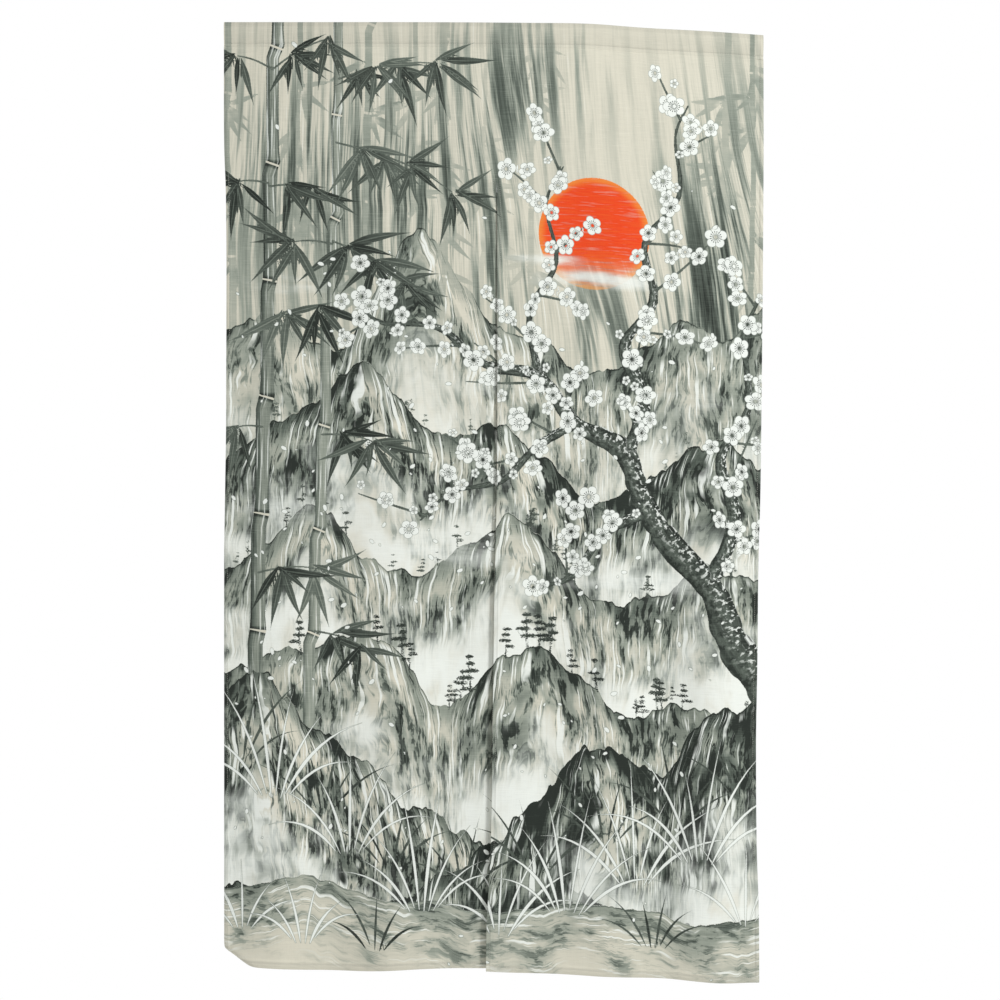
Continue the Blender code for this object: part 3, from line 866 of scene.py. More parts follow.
    def draw_petals(self, rng):
        """Loose white petals on the air."""
        for _ in range(PETAL_COUNT):
            x, z = rng.uniform(-0.41, 0.41), -abs(rng.normal(0.86, 0.27))
            length = rng.uniform(0.0035, 0.0100)
            self.layers["rear_grass"].add(blade(x, z, rng.uniform(0, math.pi), length, length * 0.34,
                                                0.5, PETAL_PROFILE), 1.0)

    def fields(self, x, z):
        """Everything that the print's material reads, by name."""
        far_edge, far_run = self.far.fields(x, z)
        front_bloom, front_kind = self.blossoms[0].fields(x, z)
        rear_bloom, rear_kind = self.blossoms[1].fields(x, z)
        pine_edge, pine_run = self.pines.fields(x, z)
        pines = np.stack((pine_edge[:, 2], pine_run[:, 1], pine_edge[:, 1]), axis=1)
        airs = np.stack((clouds(x, z, WASHES), clouds(x, z, MISTS),
                         SUN[2] - np.hypot(x - SUN[0], z - SUN[1])), axis=1)
        far = np.stack((far_edge[:, 2], far_run[:, 1], far_run[:, 0]), axis=1)
        found = {"far": far, "pines": pines, "airs": airs, "front_bloom": front_bloom,
                 "front_kind": front_kind, "rear_bloom": rear_bloom, "rear_kind": rear_kind}
        for name, layer in self.layers.items():
            found[name + "_edge"], run = layer.fields(x, z)
            if name not in WHITE_GRASS:
                found[name + "_run"] = run
        for land in LANDS:
            found[land["name"]] = land_fields(x, z, land)
        return found


# ---- Shader wiring ----
# Noise textures: the scale over each of two numbers, the detail, the roughness and the seed. The
# numbers are a place on the cloth, in metres, or run along and across a mark.
NOISES = {
    "ragged": (520, 520, 2, 0.6, 1),
    "sweep": (2.6, 1.5, 1, 0.5, 5),
    "broad wash": (58, 2.4, 4, 0.62, 3),
    "fine wash": (320, 7, 2, 0.55, 4),
    "sun": (16, 230, 3, 0.6, 6),
    "drift": (10, 34, 4, 0.55, 8),
    "flow": (13, 13, 2, 0.5, 20),
    "hairs": (170, 9, 3, 0.55, 21),
    "faces": (25, 11, 3, 0.55, 22),
    "dabs": (80, 30, 3, 0.62, 23),
    "needles": (340, 520, 3, 0.75, 9),
    "stalk": (3.4, 1.5, 3, 0.6, 11),
    "leaf": (16, 1.6, 3, 0.6, 14),
    "broad bark": (42, 1.7, 4, 0.65, 12),
    "fine bark": (160, 2.6, 2, 0.6, 13),
    "grass": (60, 9, 3, 0.6, 10),
    "weft": (34, 950, 3, 0.6, 15),
    "slubs": (22, 420, 2, 0.5, 16),
    "warp": (900, 30, 2, 0.6, 17),
    "uneven": (7, 7, 3, 0.5, 18),
    "thread": (2600, 2600, 2, 0.5, 1),
}
SEED_STEP = (17.31, -9.17)   # how far apart the noise of one seed lies from that of the next


class Value:
    """A number on a wire, so that a shader's maths reads as an expression."""

    def __init__(self, wires, socket):
        self.wires = wires
        self.socket = socket

    def maths(self, operation, *values):
        """One Math node."""
        return self.wires.node("ShaderNodeMath", {"operation": operation}, dict(enumerate(values)))

    def __add__(self, other):
        return self.maths("ADD", self, other)

    def __radd__(self, other):
        return self.maths("ADD", other, self)

    def __sub__(self, other):
        return self.maths("SUBTRACT", self, other)

    def __rsub__(self, other):
        return self.maths("SUBTRACT", other, self)

    def __mul__(self, other):
        return self.maths("MULTIPLY", self, other)

    def __rmul__(self, other):
        return self.maths("MULTIPLY", other, self)

    def __truediv__(self, other):
        return self.maths("DIVIDE", self, other)

    def __pow__(self, other):
        return self.maths("POWER", self, other)

    def __abs__(self):
        return self.maths("ABSOLUTE", self)

    def at_least(self, other):
        """The larger of two numbers."""
        return self.maths("MAXIMUM", self, other)

    def at_most(self, other):
        """The smaller of two numbers."""
        return self.maths("MINIMUM", self, other)

    def part(self):
        """What is left past the last whole number."""
        return self.maths("FRACT", self)

    def soft(self, low, high):
        """0 below one number and 1 above another, with soft ends."""
        settings = {"interpolation_type": "SMOOTHSTEP"}
        return self.wires.node("ShaderNodeMapRange", settings, {"Value": self, 1: low, 2: high})

    def held(self):
        """Kept between 0 and 1."""
        return self.at_least(0.0).at_most(1.0)


class Wires:
    """Adds nodes to a material or to a world."""

    def __init__(self, material):
        self.tree = material.node_tree

    def node(self, kind, settings=None, sockets=None, output=0):
        """Add a node: its type, its settings, and values or links for its sockets. It returns one
        of the node's outputs, or with None all of them."""
        made = self.tree.nodes.new(kind)
        for name, value in (settings or {}).items():
            if name == "stops":
                self.set_stops(made.color_ramp, value)
            else:
                setattr(made, name, value)
        self.plug(made, sockets or {})
        if output is None:
            return tuple(Value(self, socket) for socket in made.outputs)
        return Value(self, made.outputs[output])

    def plug(self, node, sockets):
        """Give a node's sockets their values or links."""
        for name, value in sockets.items():
            if isinstance(value, Value):
                self.tree.links.new(value.socket, node.inputs[name])
            else:
                node.inputs[name].default_value = value

    @staticmethod
    def set_stops(ramp, stops):
        """Give a ramp its stops: places and colours."""
        while len(ramp.elements) < len(stops):
            ramp.elements.new(0.5)
        for element, (place, colour) in zip(ramp.elements, stops):
            element.position = place
            element.color = colour

    def attribute(self, name):
        """The three numbers that the mesh holds under a name."""
        vector = self.node("ShaderNodeAttribute", {"attribute_name": name}, output="Vector")
        return self.node("ShaderNodeSeparateXYZ", None, {0: vector}, None)

    def noise(self, name, x, y):
        """The noise of one name over two numbers, about 0.5."""
        scale_x, scale_y, detail, roughness, seed = NOISES[name]
        step_x, step_y = SEED_STEP
        place = self.node("ShaderNodeCombineXYZ", None,
                          {0: x * scale_x + seed * step_x, 1: y * scale_y + seed * step_y})
        return self.node("ShaderNodeTexNoise", {"noise_dimensions": "2D"},
                         {"Vector": place, "Scale": 1.0, "Detail": detail, "Roughness": roughness})

    def mix(self, factor, first, second):
        """One colour over another."""
        return self.node("ShaderNodeMix", {"data_type": "RGBA"}, {0: factor, 6: first, 7: second}, 2)

    def surface(self, sockets, shader="Principled BSDF"):
        """Set or link sockets of the material's own shader."""
        self.plug(self.tree.nodes[shader], sockets)


def new_material(name):
    """A material, and the wires between its nodes."""
    material = bpy.data.materials.new(name)
    material.use_nodes = True
    return material, Wires(material)


class Paint:
    """What has been printed so far at a point: how dark the ink is, how much of it is white
    and how much is vermilion. Each new mark covers what is under it."""

    def __init__(self, ink):
        self.ink = ink
        self.white = ink * 0.0
        self.red = ink * 0.0

    def lay_ink(self, mask, darkness):
        """Print ink of a darkness."""
        keep = 1 - mask
        self.ink = self.ink * keep + darkness * mask
        self.white = self.white * keep
        self.red = self.red * keep

    def lay_white(self, mask):
        """Print white."""
        keep = 1 - mask
        self.white = self.white * keep + mask
        self.red = self.red * keep

    def lay_red(self, mask):
        """Print vermilion."""
        keep = 1 - mask
        self.red = self.red * keep + mask
        self.white = self.white * keep


class Bleed:
    """How printed marks end: crisp and a little ragged on the face, blurred on the back."""

    EDGE = 0.0003            # half of the soft edge of a mark
    RAGGED = 0.0016          # how far the threads carry the ink past it
    NEAR_MARK = 0.0015       # how near a mark its width across is trusted, twice that on the back
    SOAKED = 0.0030          # how much softer an edge is once the ink has soaked through

    def __init__(self, wires, x, z, face):
        self.ragged = (wires.noise("ragged", x, z) - 0.5) * self.RAGGED
        self.near = (2 - face) * self.NEAR_MARK
        self.outside = face * self.SOAKED - self.SOAKED - self.EDGE
        self.inside = self.EDGE * 2 + self.outside * -0.3

    def cover(self, depth, share=1.0):
        """Where a mark covers the cloth, from the depth inside its edge."""
        return (depth + self.ragged * share).soft(self.outside, self.inside)

    def stroke(self, edge, share=1.0):
        """Where a brush mark covers the cloth, crisp on its face however thin it is."""
        across, half, depth = edge
        inside = (half - abs(across)).at_most(depth + self.near)
        return self.cover(depth.at_least(inside), share)


def paint_wash(wires, paint, x, z, wash):
    """Grey wash in long sweeping strokes, with the dry brush's white between them."""
    line = x + (wires.noise("sweep", x, z) - 0.5) * 0.13 + z * (x * 0.30 + 0.06)
    broad = wires.noise("broad wash", line, z)
    fine = wires.noise("fine wash", line, z)
    paint.ink = (wash * (broad.soft(0.42, 0.66) * 0.62 + (fine - 0.5) * 0.5 + 0.05)).held()
    paint.lay_white(wash.held() * (fine * 0.6 + broad * 0.4).soft(0.36, 0.27) * 0.75)


def paint_sun(wires, paint, x, z, sun, bleed):
    """The sun's disc, brushed from side to side and thinner towards its foot."""
    brushed = wires.noise("sun", x, z)
    low = (z - (SUN[1] - SUN[2])).soft(-0.010, 0.075)
    cover = bleed.cover(sun, 1.2)
    paint.lay_red(cover * (low * 0.55 + brushed.soft(0.30, 0.52) * 0.35 + 0.22).held())
    rim = sun.soft(0.016, 0.0)
    return (rim * 0.55 + (1 - low) * 0.45 + (brushed - 0.5) * 0.5).held() * sun.soft(-0.002, 0.0)


class LandStrokes:
    """The brushwork of the hills and rocks, drawn once for whichever lies in front at a point:
    brush lines that run down its slopes, or along the bank, over patches of grey wash."""

    def __init__(self, wires, x, z, fields, bleed):
        self.flow = wires.noise("flow", x, z)
        self.covers = [bleed.cover(depth, 1.6) for depth, _, _ in fields]
        depth, start, slope = fields[0]
        down = depth
        for land, cover, (next_depth, next_start, next_slope) in zip(LANDS[1:], self.covers[1:], fields[1:]):
            depth = depth + (next_depth - depth) * cover
            start = start + (next_start - start) * cover
            slope = slope + (next_slope - slope) * cover
            down = down + ((x + z * BANK_SKEW if land["along"] else next_depth) - down) * cover
        line = start + (self.flow - 0.5) * 0.020
        self.hairs = wires.noise("hairs", line, down)
        self.faces = wires.noise("faces", line, down)
        dabs = wires.noise("dabs", line, down)
        lines = abs(self.hairs - 0.5).soft(0.046, 0.016) * dabs.soft(0.40, 0.54)
        blots = dabs.soft(0.50, 0.57) * self.faces.soft(0.42, 0.60)
        rim = depth.soft(0.0034, 0.0014) * self.faces.soft(0.30, 0.45)
        crown = depth.soft(0.046, 0.0) * (self.hairs * 0.6 + 0.2)
        grey = self.faces.soft(0.36, 0.66) * 0.42 + self.hairs * 0.18 + slope * 0.16
        self.shade = grey + lines * 0.42 + blots * 0.50 + rim * 0.45 + crown * 0.62
        self.light = self.hairs.soft(0.43, 0.37) * self.faces.soft(0.58, 0.44) * depth.soft(0.002, 0.010)


def paint_land(paint, strokes, cover, depth, land):
    """One hill or rock, with mist about its foot, or the bank, with bare linen there."""
    fade = land["fade"]
    mist = (depth + (strokes.flow - 0.5) * fade * 0.9 + (strokes.hairs - 0.5) * fade * 0.5)
    mist = mist.soft(fade * 0.35, fade)
    clear = 1 - mist
    shade = (strokes.shade * land["tone"]).held()
    light = strokes.light * 0.90 * clear
    if land["along"]:
        paint.lay_ink(cover, shade * clear)
        paint.lay_white(cover * light)
        return
    paint.lay_ink(cover * clear, shade)
    haze = mist * (strokes.faces.soft(0.72, 0.36) * 0.56 + 0.10)
    paint.lay_white(cover * (haze + light).held())


def paint_boughs(wires, paint, bleed):
    """The plum tree's boughs and the bamboo's twigs, with lichen down the lit side of the bark."""
    edge = wires.attribute("bough_edge")
    along, tone, share = wires.attribute("bough_run")
    streak = wires.noise("broad bark", along, share)
    bark = wires.noise("fine bark", along, share)
    cover = bleed.stroke(edge)
    paint.lay_ink(cover, (tone * (streak * 0.72 + bark * 0.50 + share * share * 0.22 + 0.12)).held())
    thick = edge[1].soft(0.004, 0.008)
    paint.lay_white(cover * thick * bark.soft(0.46, 0.36) * (share * 0.5 + 0.5).soft(0.2, 0.8) * 0.9)


def paint_leaves(wires, paint, layer, bleed):
    """Bamboo leaves, brushed from stem to tip and paler along the rib."""
    edge = wires.attribute(layer + "_edge")
    along, tone, share = wires.attribute(layer + "_run")
    streak = wires.noise("leaf", along, share)
    off_rib = 1 - edge[2] / edge[1].at_least(0.0005)
    rib = abs(share).soft(0.03, 0.16).at_least(off_rib.soft(0.36, 0.50))
    cover = bleed.stroke(edge, 0.6)
    paint.lay_ink(cover, (tone * (streak * 0.66 + rib * 0.24 + 0.40)).held())


# A blossom's petals and stamens, in shares of its radius.
PETAL_RADIUS, PETAL_CENTRE = 0.42, 0.56
STAMENS = 15
STAMEN_GAP, STAMEN_REACH = 0.42, 0.46


def paint_blossom(wires, paint, layer, bleed):
    """A plum blossom of five round petals, outlined, with its stamens and a small red heart."""
    u, v, reach = wires.attribute(layer + "_bloom")
    radius, seed, _ = wires.attribute(layer + "_kind")
    out = (u * u + v * v) ** 0.5
    angle = v.maths("ARCTAN2", v, u)
    fifth = 2 * math.pi / 5
    off_axis = abs((angle / fifth + 0.5).part() - 0.5) * fifth
    along = out * off_axis.maths("COSINE", off_axis)
    aside = out * off_axis.maths("SINE", off_axis)
    inside = (PETAL_RADIUS - ((along - PETAL_CENTRE) ** 2 + aside * aside) ** 0.5) * radius
    petals = bleed.cover(inside, 0.4) * reach.soft(0.0, 0.03)
    parting = out * (fifth / 2 - off_axis) * radius
    line = inside.soft(0.0012, 0.0004).at_least(parting.soft(0.0007, 0.0001) * out.soft(0.30, 0.45))
    paint.lay_white(petals)
    paint.lay_ink(petals * (line * 0.92).at_least(out.soft(0.50, 0.12) * 0.30), 0.62)
    turn = (angle * (STAMENS / (2 * math.pi)) + seed * 3).part() - 0.5
    swing = abs(turn) * out * (2 * math.pi / STAMENS)
    threads = swing.soft(0.022, 0.010) * out.soft(0.12, 0.16) * out.soft(0.46, 0.42)
    tips = ((turn * out * STAMEN_GAP) ** 2 + (out - STAMEN_REACH) ** 2).soft(0.0030, 0.0012)
    paint.lay_ink(petals * threads.at_least(tips), 0.80)
    paint.lay_red(petals * out.soft(0.15, 0.10))


def paint_pines(wires, paint, x, z, bleed):
    """The pines on the ridges, whose pads are ragged with needles."""
    depth, tone, half = wires.attribute("pines")
    needles = wires.noise("needles", x, z)
    ragged = half.soft(0.0008, 0.0016) * 0.0075
    cover = bleed.cover(depth + (needles - 0.5) * ragged)
    paint.lay_ink(cover, (tone * (needles * 0.7 + 0.62)).held())


def paint_stalks(wires, paint, z, bleed):
    """The near bamboo, dark down one side and hooked with shade under each joint."""
    edge = wires.attribute("stalk_edge")
    along, tone, share = wires.attribute("stalk_run")
    streak = wires.noise("stalk", share, along)
    off_joint = abs((along + 0.5).part() - 0.5)
    ring = off_joint.soft(0.006, 0.012)
    hook = off_joint.soft(0.045, 0.012)
    shade = tone * (share * share * 0.34 - share * 0.20 + streak * 0.92 + hook * 0.45)
    cover = bleed.stroke(edge, 0.7) * z.soft(*STALKS_END)
    paint.lay_ink(cover, (shade * ring).held())
    paint.lay_white(cover * ring * streak.soft(0.40, 0.33) * 0.65)


# Painted shade and a painted highlight in the cloth's colour: how much darker it is painted where the cloth
# is doubled, stitched or pressed, and how much lighter just past a hem. The pairs are the distances at which
# each is gone and at which it is full.
DOUBLED_SHADE, STITCHED_SHADE, PRESSED_SHADE, PAST_LIGHT = 0.055, 0.09, 0.06, 0.05
HEM_END = (0.0068, 0.0058)
POCKET_EDGE = 0.0008
SLIT_FADE = 0.004            # over which the slit's hems end at its top
STITCH_SHADOWS = ((0.0013, 0.0003), (0.0015, 0.0004))
PAST_HEM = 0.0078
PAST_POCKET = 0.0405
PAST_SHINE = (0.0014, 0.0004)
PRESSED_FOLD = 0.0055        # below the top edge
PRESSED_WIDTH = (0.0042, 0.0012)


def painted_sewing_shade(x, z):
    """Painted shade in the cloth's colour: how much darker it is made where the cloth is doubled, in the hems
    and the pocket, along the stitches that draw it in, and under the pressed fold of the top edge, less a
    painted highlight just past the hems and the pocket."""
    outer = HALF_WIDTH - abs(x)
    slit = abs(x - SEAM_X) + z.soft(SLIT_TOP, SLIT_TOP + SLIT_FADE) * HALF_WIDTH
    foot = (z - PICTURE_FOOT) * (SIDE_LINE / FOOT_LINE)
    inset = outer.at_most(slit).at_most(foot)
    # Painted shade where the cloth lies doubled, in the hems and the pocket.
    doubled = inset.soft(*HEM_END).at_least(z.soft(-POCKET_HEIGHT, -POCKET_HEIGHT + POCKET_EDGE))
    at_hem, at_pocket = STITCH_SHADOWS
    # Painted shade along the lines of stitches.
    painted_stitch_shade = abs(inset - SIDE_LINE).soft(*at_hem).at_least(abs(z + POCKET_LINE).soft(*at_pocket))
    # A painted highlight just past the hems and the pocket's stitches.
    past = abs(inset - PAST_HEM).soft(*PAST_SHINE).at_least(abs(z + PAST_POCKET).soft(*PAST_SHINE))
    # Painted shade under the pressed fold of the top edge.
    pressed = abs(z + PRESSED_FOLD).soft(*PRESSED_WIDTH)
    return (doubled * DOUBLED_SHADE + painted_stitch_shade * STITCHED_SHADE + pressed * PRESSED_SHADE
            - past * PAST_LIGHT)


def paint_picture(wires, x, z, face):
    """The whole picture, from the farthest marks to the nearest: what they amount to at a
    point, and how far the sun's red turns to ochre there."""
    bleed = Bleed(wires, x, z, face)
    wash, mist, sun = wires.attribute("airs")
    paint = Paint(wash * 0.0)
    paint_wash(wires, paint, x, z, wash)
    warmth = paint_sun(wires, paint, x, z, sun, bleed)
    fields = [wires.attribute(land["name"]) for land in LANDS]
    strokes = LandStrokes(wires, x, z, fields, bleed)
    drift = wires.noise("drift", x, z)
    haze = (mist * (drift * 1.6 - 0.1)).soft(0.22, 0.85)
    for land, cover, field in zip(LANDS, strokes.covers, fields):
        if land["name"] == "left_rocks":
            paint_pines(wires, paint, x, z, bleed)
            paint_stalks(wires, paint, z, bleed)
        paint_land(paint, strokes, cover, field[0], land)
        if land["name"] == "far_hills":
            paint.lay_white(haze * 0.62)
            depth, tone, along = wires.attribute("far")
            ring = abs((along + 0.5).part() - 0.5).soft(0.008, 0.022)
            sunk = z.soft(*FAR_STALKS_END)
            darkness = (tone * (drift * 0.8 + 0.5)).at_least(paint.ink)
            paint.lay_ink(bleed.cover(depth) * (ring * 0.8 + 0.2) * sunk, darkness)
        if land["name"] == "near_hills":
            paint.lay_white(haze * 0.52)

    paint_boughs(wires, paint, bleed)
    along, tone, _ = wires.attribute("dark_grass_run")
    cover = bleed.stroke(wires.attribute("dark_grass_edge"), 0.6)
    paint.lay_ink(cover, (tone * (wires.noise("grass", along, tone) * 0.5 + 0.62)).held())
    for layer in ("rear_leaf", "front_leaf"):
        paint_leaves(wires, paint, layer, bleed)
    for bloom in ("rear", "front"):
        paint_blossom(wires, paint, bloom, bleed)
    for layer in WHITE_GRASS:
        across, half, depth = wires.attribute(layer + "_edge")
        halo = bleed.stroke((across, half + 0.0008, depth + 0.0008), 0.6)
        paint.lay_ink(halo * 0.75, paint.ink * 0.5 + 0.36)
        paint.lay_white(bleed.stroke((across, half, depth), 0.6))
    return paint, warmth


def printed_cloth(colours):
    """The printed linen: ink, white and vermilion on an undyed slub weave, with painted shade and painted
    highlights along its hems, stitches, pocket and top fold.
    """
    material, wires = new_material("printed cloth")
    x, z, face = wires.attribute("print")
    paint, warmth = paint_picture(wires, x, z, face)

    # The linen: thick and thin threads both ways, which take the ink a little unevenly.
    weft = wires.noise("weft", x, z)
    slubs = wires.noise("slubs", x, z).soft(0.60, 0.74)
    warp = wires.noise("warp", x, z)
    threads = (weft - 0.5) * 0.9 + (warp - 0.5) * 0.45 + slubs * 0.22
    ink = (paint.ink * (1 - threads * 0.35)).held()
    white = (paint.white * (0.96 - abs(threads) * 0.30)).held()
    shades = {"stops": [(0.0, (*colours.ground, 1)), (0.30, (*colours.pale_ink, 1)),
                        (0.62, (*colours.middle_ink, 1)), (0.94, (*colours.deep_ink, 1))]}
    inked = wires.node("ShaderNodeValToRGB", shades, {"Fac": ink})
    sun_colour = wires.mix(warmth, (*colours.vermilion, 1), (*colours.ochre, 1))
    reddened = wires.mix(paint.red, inked, sun_colour)
    printed = wires.mix(white, reddened, (*colours.white, 1))
    shown = face * 0.60 + 0.40
    through = wires.mix(shown, (*colours.ground, 1), printed)
    uneven = wires.noise("uneven", x, z)
    # The weave's threads and its uneven tone lighten and darken the colour; the painted shade of the sewing
    # darkens it, and its painted highlight lightens it.
    light = 1 + threads * 0.16 + (uneven - 0.5) * 0.10 - painted_sewing_shade(x, z)
    finished = wires.node("ShaderNodeVectorMath", {"operation": "SCALE"}, {0: through, "Scale": light})
    relief = wires.node("ShaderNodeBump", None, {"Strength": 0.70, "Distance": 0.00035, "Height": threads})
    wires.surface({"Base Color": finished, "Normal": relief, "Roughness": 0.90 - ink * 0.10,
                   "Specular IOR Level": 0.20, "Sheen Weight": 0.12, "Sheen Roughness": 0.45})
    return material


def sewing_thread(colours):
    """Spun cotton thread, two plies twisted."""
    material, wires = new_material("sewing thread")
    along, across, shade = wires.attribute("print")
    plies = (along * 900 + across * 900).part()
    grain = wires.noise("thread", along, across)
    tint = 0.86 + grain * 0.20 + shade * 0.05
    colour = wires.node("ShaderNodeVectorMath", {"operation": "SCALE"},
                        {0: (*colours.thread,), "Scale": tint})
    relief = wires.node("ShaderNodeBump", None, {"Strength": 0.4, "Distance": 0.0001, "Height": plies})
    wires.surface({"Base Color": colour, "Normal": relief, "Roughness": 0.75,
                   "Specular IOR Level": 0.3})
    return material


# ---- Meshes ----
BAND_COUNT = 2               # lengths that a sheet's map is cut into, side by side
BACK_SHARE = 0.14            # of the map's height, left to the back
MAP_MARGIN = 0.004           # round each part of the map, as a share of it
RIM_LEVEL = 0.02             # where the sheet's rim lies in the back's strip
BACK_LEVEL, BACK_HEIGHT = 0.08, 0.88     # and where its back starts there, and how high that is
SHARP_ANGLE = math.radians(50)


def new_mesh(name, points, polygons):
    """A mesh from its points and the points of each of its faces."""
    mesh = bpy.data.meshes.new(name)
    mesh.from_pydata(points, [], polygons)
    return mesh


def new_piece(name, mesh, material):
    """Show a mesh as a piece that goes with the curtain."""
    mesh.materials.append(material)
    mesh.shade_smooth()
    mesh.set_sharp_from_angle(angle=SHARP_ANGLE)
    piece = bpy.data.objects.new(name, mesh)
    bpy.context.scene.collection.objects.link(piece)
    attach(piece, BODY)
    return piece


def set_vectors(mesh, name, values):
    """Hold three numbers at each vertex."""
    held = mesh.attributes.new(name, "FLOAT_VECTOR", "POINT")
    held.data.foreach_set("vector", np.asarray(values, dtype=np.float32).ravel())


def set_print(mesh, x, z, face, picture):
    """Print the picture on a mesh, whose vertices lie at x and z of the flat cloth."""
    set_vectors(mesh, "print", np.stack((x, z, face), axis=1))
    for name, values in picture.fields(x, z).items():
        set_vectors(mesh, name, values)


def sheet_mesh(name, front, back):
    """A closed sheet of cloth from a grid of points on its face, and a grid of every other
    one on its back. Rows run down and columns to the right, seen from the face."""
    rows, columns = front.shape[0] - 1, front.shape[1] - 1
    upper = np.arange((rows + 1) * (columns + 1)).reshape(rows + 1, columns + 1)
    under = np.arange((rows // 2 + 1) * (columns // 2 + 1)).reshape(rows // 2 + 1, columns // 2 + 1)
    under = under + upper.size
    faces = np.stack((upper[:-1, :-1], upper[1:, :-1], upper[1:, 1:], upper[:-1, 1:]), axis=-1)
    backs = np.stack((under[:-1, :-1], under[:-1, 1:], under[1:, 1:], under[1:, :-1]), axis=-1)
    polygons = faces.reshape(-1, 4).tolist() + backs.reshape(-1, 4).tolist()
    for line, hidden, outward in ((upper[0], under[0], False), (upper[-1], under[-1], True),
                                  (upper[:, 0], under[:, 0], True), (upper[:, -1], under[:, -1], False)):
        for k in range(len(hidden) - 1):
            rim = [line[2 * k], line[2 * k + 1], line[2 * k + 2], hidden[k + 1], hidden[k]]
            polygons.append([int(v) for v in (rim[::-1] if outward else rim)])
    return new_mesh(name, np.concatenate((front.reshape(-1, 3), back.reshape(-1, 3))).tolist(), polygons)


def spaced(length, count, start, end):
    """Places along a length: close together at its ends, as given, and even between."""
    middle = np.linspace(start[-1], length - end[-1], count - len(start) - len(end) + 3)
    return np.concatenate((start[:-1], middle, length - np.array(end[:-1])[::-1]))


def map_sheet(mesh, across, down, rows, columns):
    """The sheet's own map: its face in bands side by side, and its back in a strip below."""
    faces = rows * columns
    backs = (rows // 2) * (columns // 2)
    layer = mesh.uv_layers.new(name="OFBake")
    count = len(mesh.loops)
    vertex = np.empty(count, dtype=np.int32)
    mesh.loops.foreach_get("vertex_index", vertex)
    totals = np.empty(len(mesh.polygons), dtype=np.int32)
    mesh.polygons.foreach_get("loop_total", totals)
    polygon = np.repeat(np.arange(len(totals)), totals)
    band = np.minimum(polygon // columns * BAND_COUNT // rows, BAND_COUNT - 1)
    margin = MAP_MARGIN
    u = (band + margin + across[vertex] * (1 - 2 * margin)) / BAND_COUNT
    height = 1 - BACK_SHARE
    v = 1 - height * (margin + (down[vertex] * BAND_COUNT - band) * (1 - 2 * margin))
    behind = polygon >= faces
    u = np.where(behind, margin + down[vertex] * (1 - 2 * margin), u)
    strip = BACK_SHARE * np.where(polygon >= faces + backs, RIM_LEVEL,
                                  BACK_LEVEL + BACK_HEIGHT * across[vertex])
    v = np.where(behind, strip, v)
    layer.data.foreach_set("uv", np.stack((u, v), axis=1).astype(np.float32).ravel())


EDGE_STEPS = (0.0, 0.0008, 0.0022, 0.0038, 0.0050, 0.0062, 0.0080, 0.0104)
FOOT_STEPS = (0.0, 0.0010, 0.0035, 0.0062, 0.0085, 0.0108, 0.0136)
TOP_STEPS = (0.0, 0.0006, 0.0012, 0.0020, 0.0034)
PANEL_COLUMNS = 150
PANEL_ROWS = 508


def panel_columns(panel):
    """The shares of a panel's width at which its cloth has a line of points."""
    return spaced(panel.width, PANEL_COLUMNS, EDGE_STEPS, EDGE_STEPS) / panel.width


def panel_rows():
    """The shares of a panel's length at which its cloth has a line of points."""
    return spaced(DROP, PANEL_ROWS, TOP_STEPS, FOOT_STEPS) / DROP


def both_sides(grid):
    """A grid's values at the vertices of its sheet: those of the face, then of the back."""
    return np.concatenate((grid.ravel(), grid[::2, ::2].ravel()))


def cloth_mesh(name, middle, x, z, thickness, picture):
    """A sheet of printed cloth about a grid of places, which are at x and z of the flat cloth."""
    normal = np.cross(np.gradient(middle, axis=1), np.gradient(middle, axis=0))
    normal /= np.linalg.norm(normal, axis=-1, keepdims=True)
    front = middle - normal * thickness / 2
    back = (middle + normal * thickness / 2)[::2, ::2]
    mesh = sheet_mesh(name, front, back)
    flat_x = both_sides(x)
    face = (np.arange(len(flat_x)) < x.size).astype(float)
    set_print(mesh, flat_x, both_sides(z), face, picture)
    return mesh


def make_panel(panel, thickness, material, picture):
    """One panel's printed cloth."""
    down, across = np.meshgrid(panel_rows(), panel_columns(panel), indexing="ij")
    middle = panel.place(across, down)
    flat_x, flat_z = panel.flat_place(across, down)
    mesh = cloth_mesh(panel.name + "_cloth", middle, flat_x, flat_z, thickness, picture)
    map_sheet(mesh, both_sides(across), both_sides(down), PANEL_ROWS, PANEL_COLUMNS)
    piece = new_piece(panel.name + "_cloth", mesh, material)
    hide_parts(panel.name)
    return piece, (panel.width, DROP)


# The pocket's section: the heights of its rows where its cloth is flat, the angles of the turn
# at its back's foot, and where round the rod way the rounded part starts, ends and has its rows.
TUCKED_LEVELS = (-0.0300, -0.0322, -0.0344, -0.0366)
TURN_ANGLES = [k * math.pi / 4 for k in range(5)]
RISING_LEVEL = -0.0368
ROUND_GAP = 0.055
ROUND_STEPS = 48
FALLING_LEVELS = (-0.0352, -0.0366, -0.0380, PANEL_TOP)


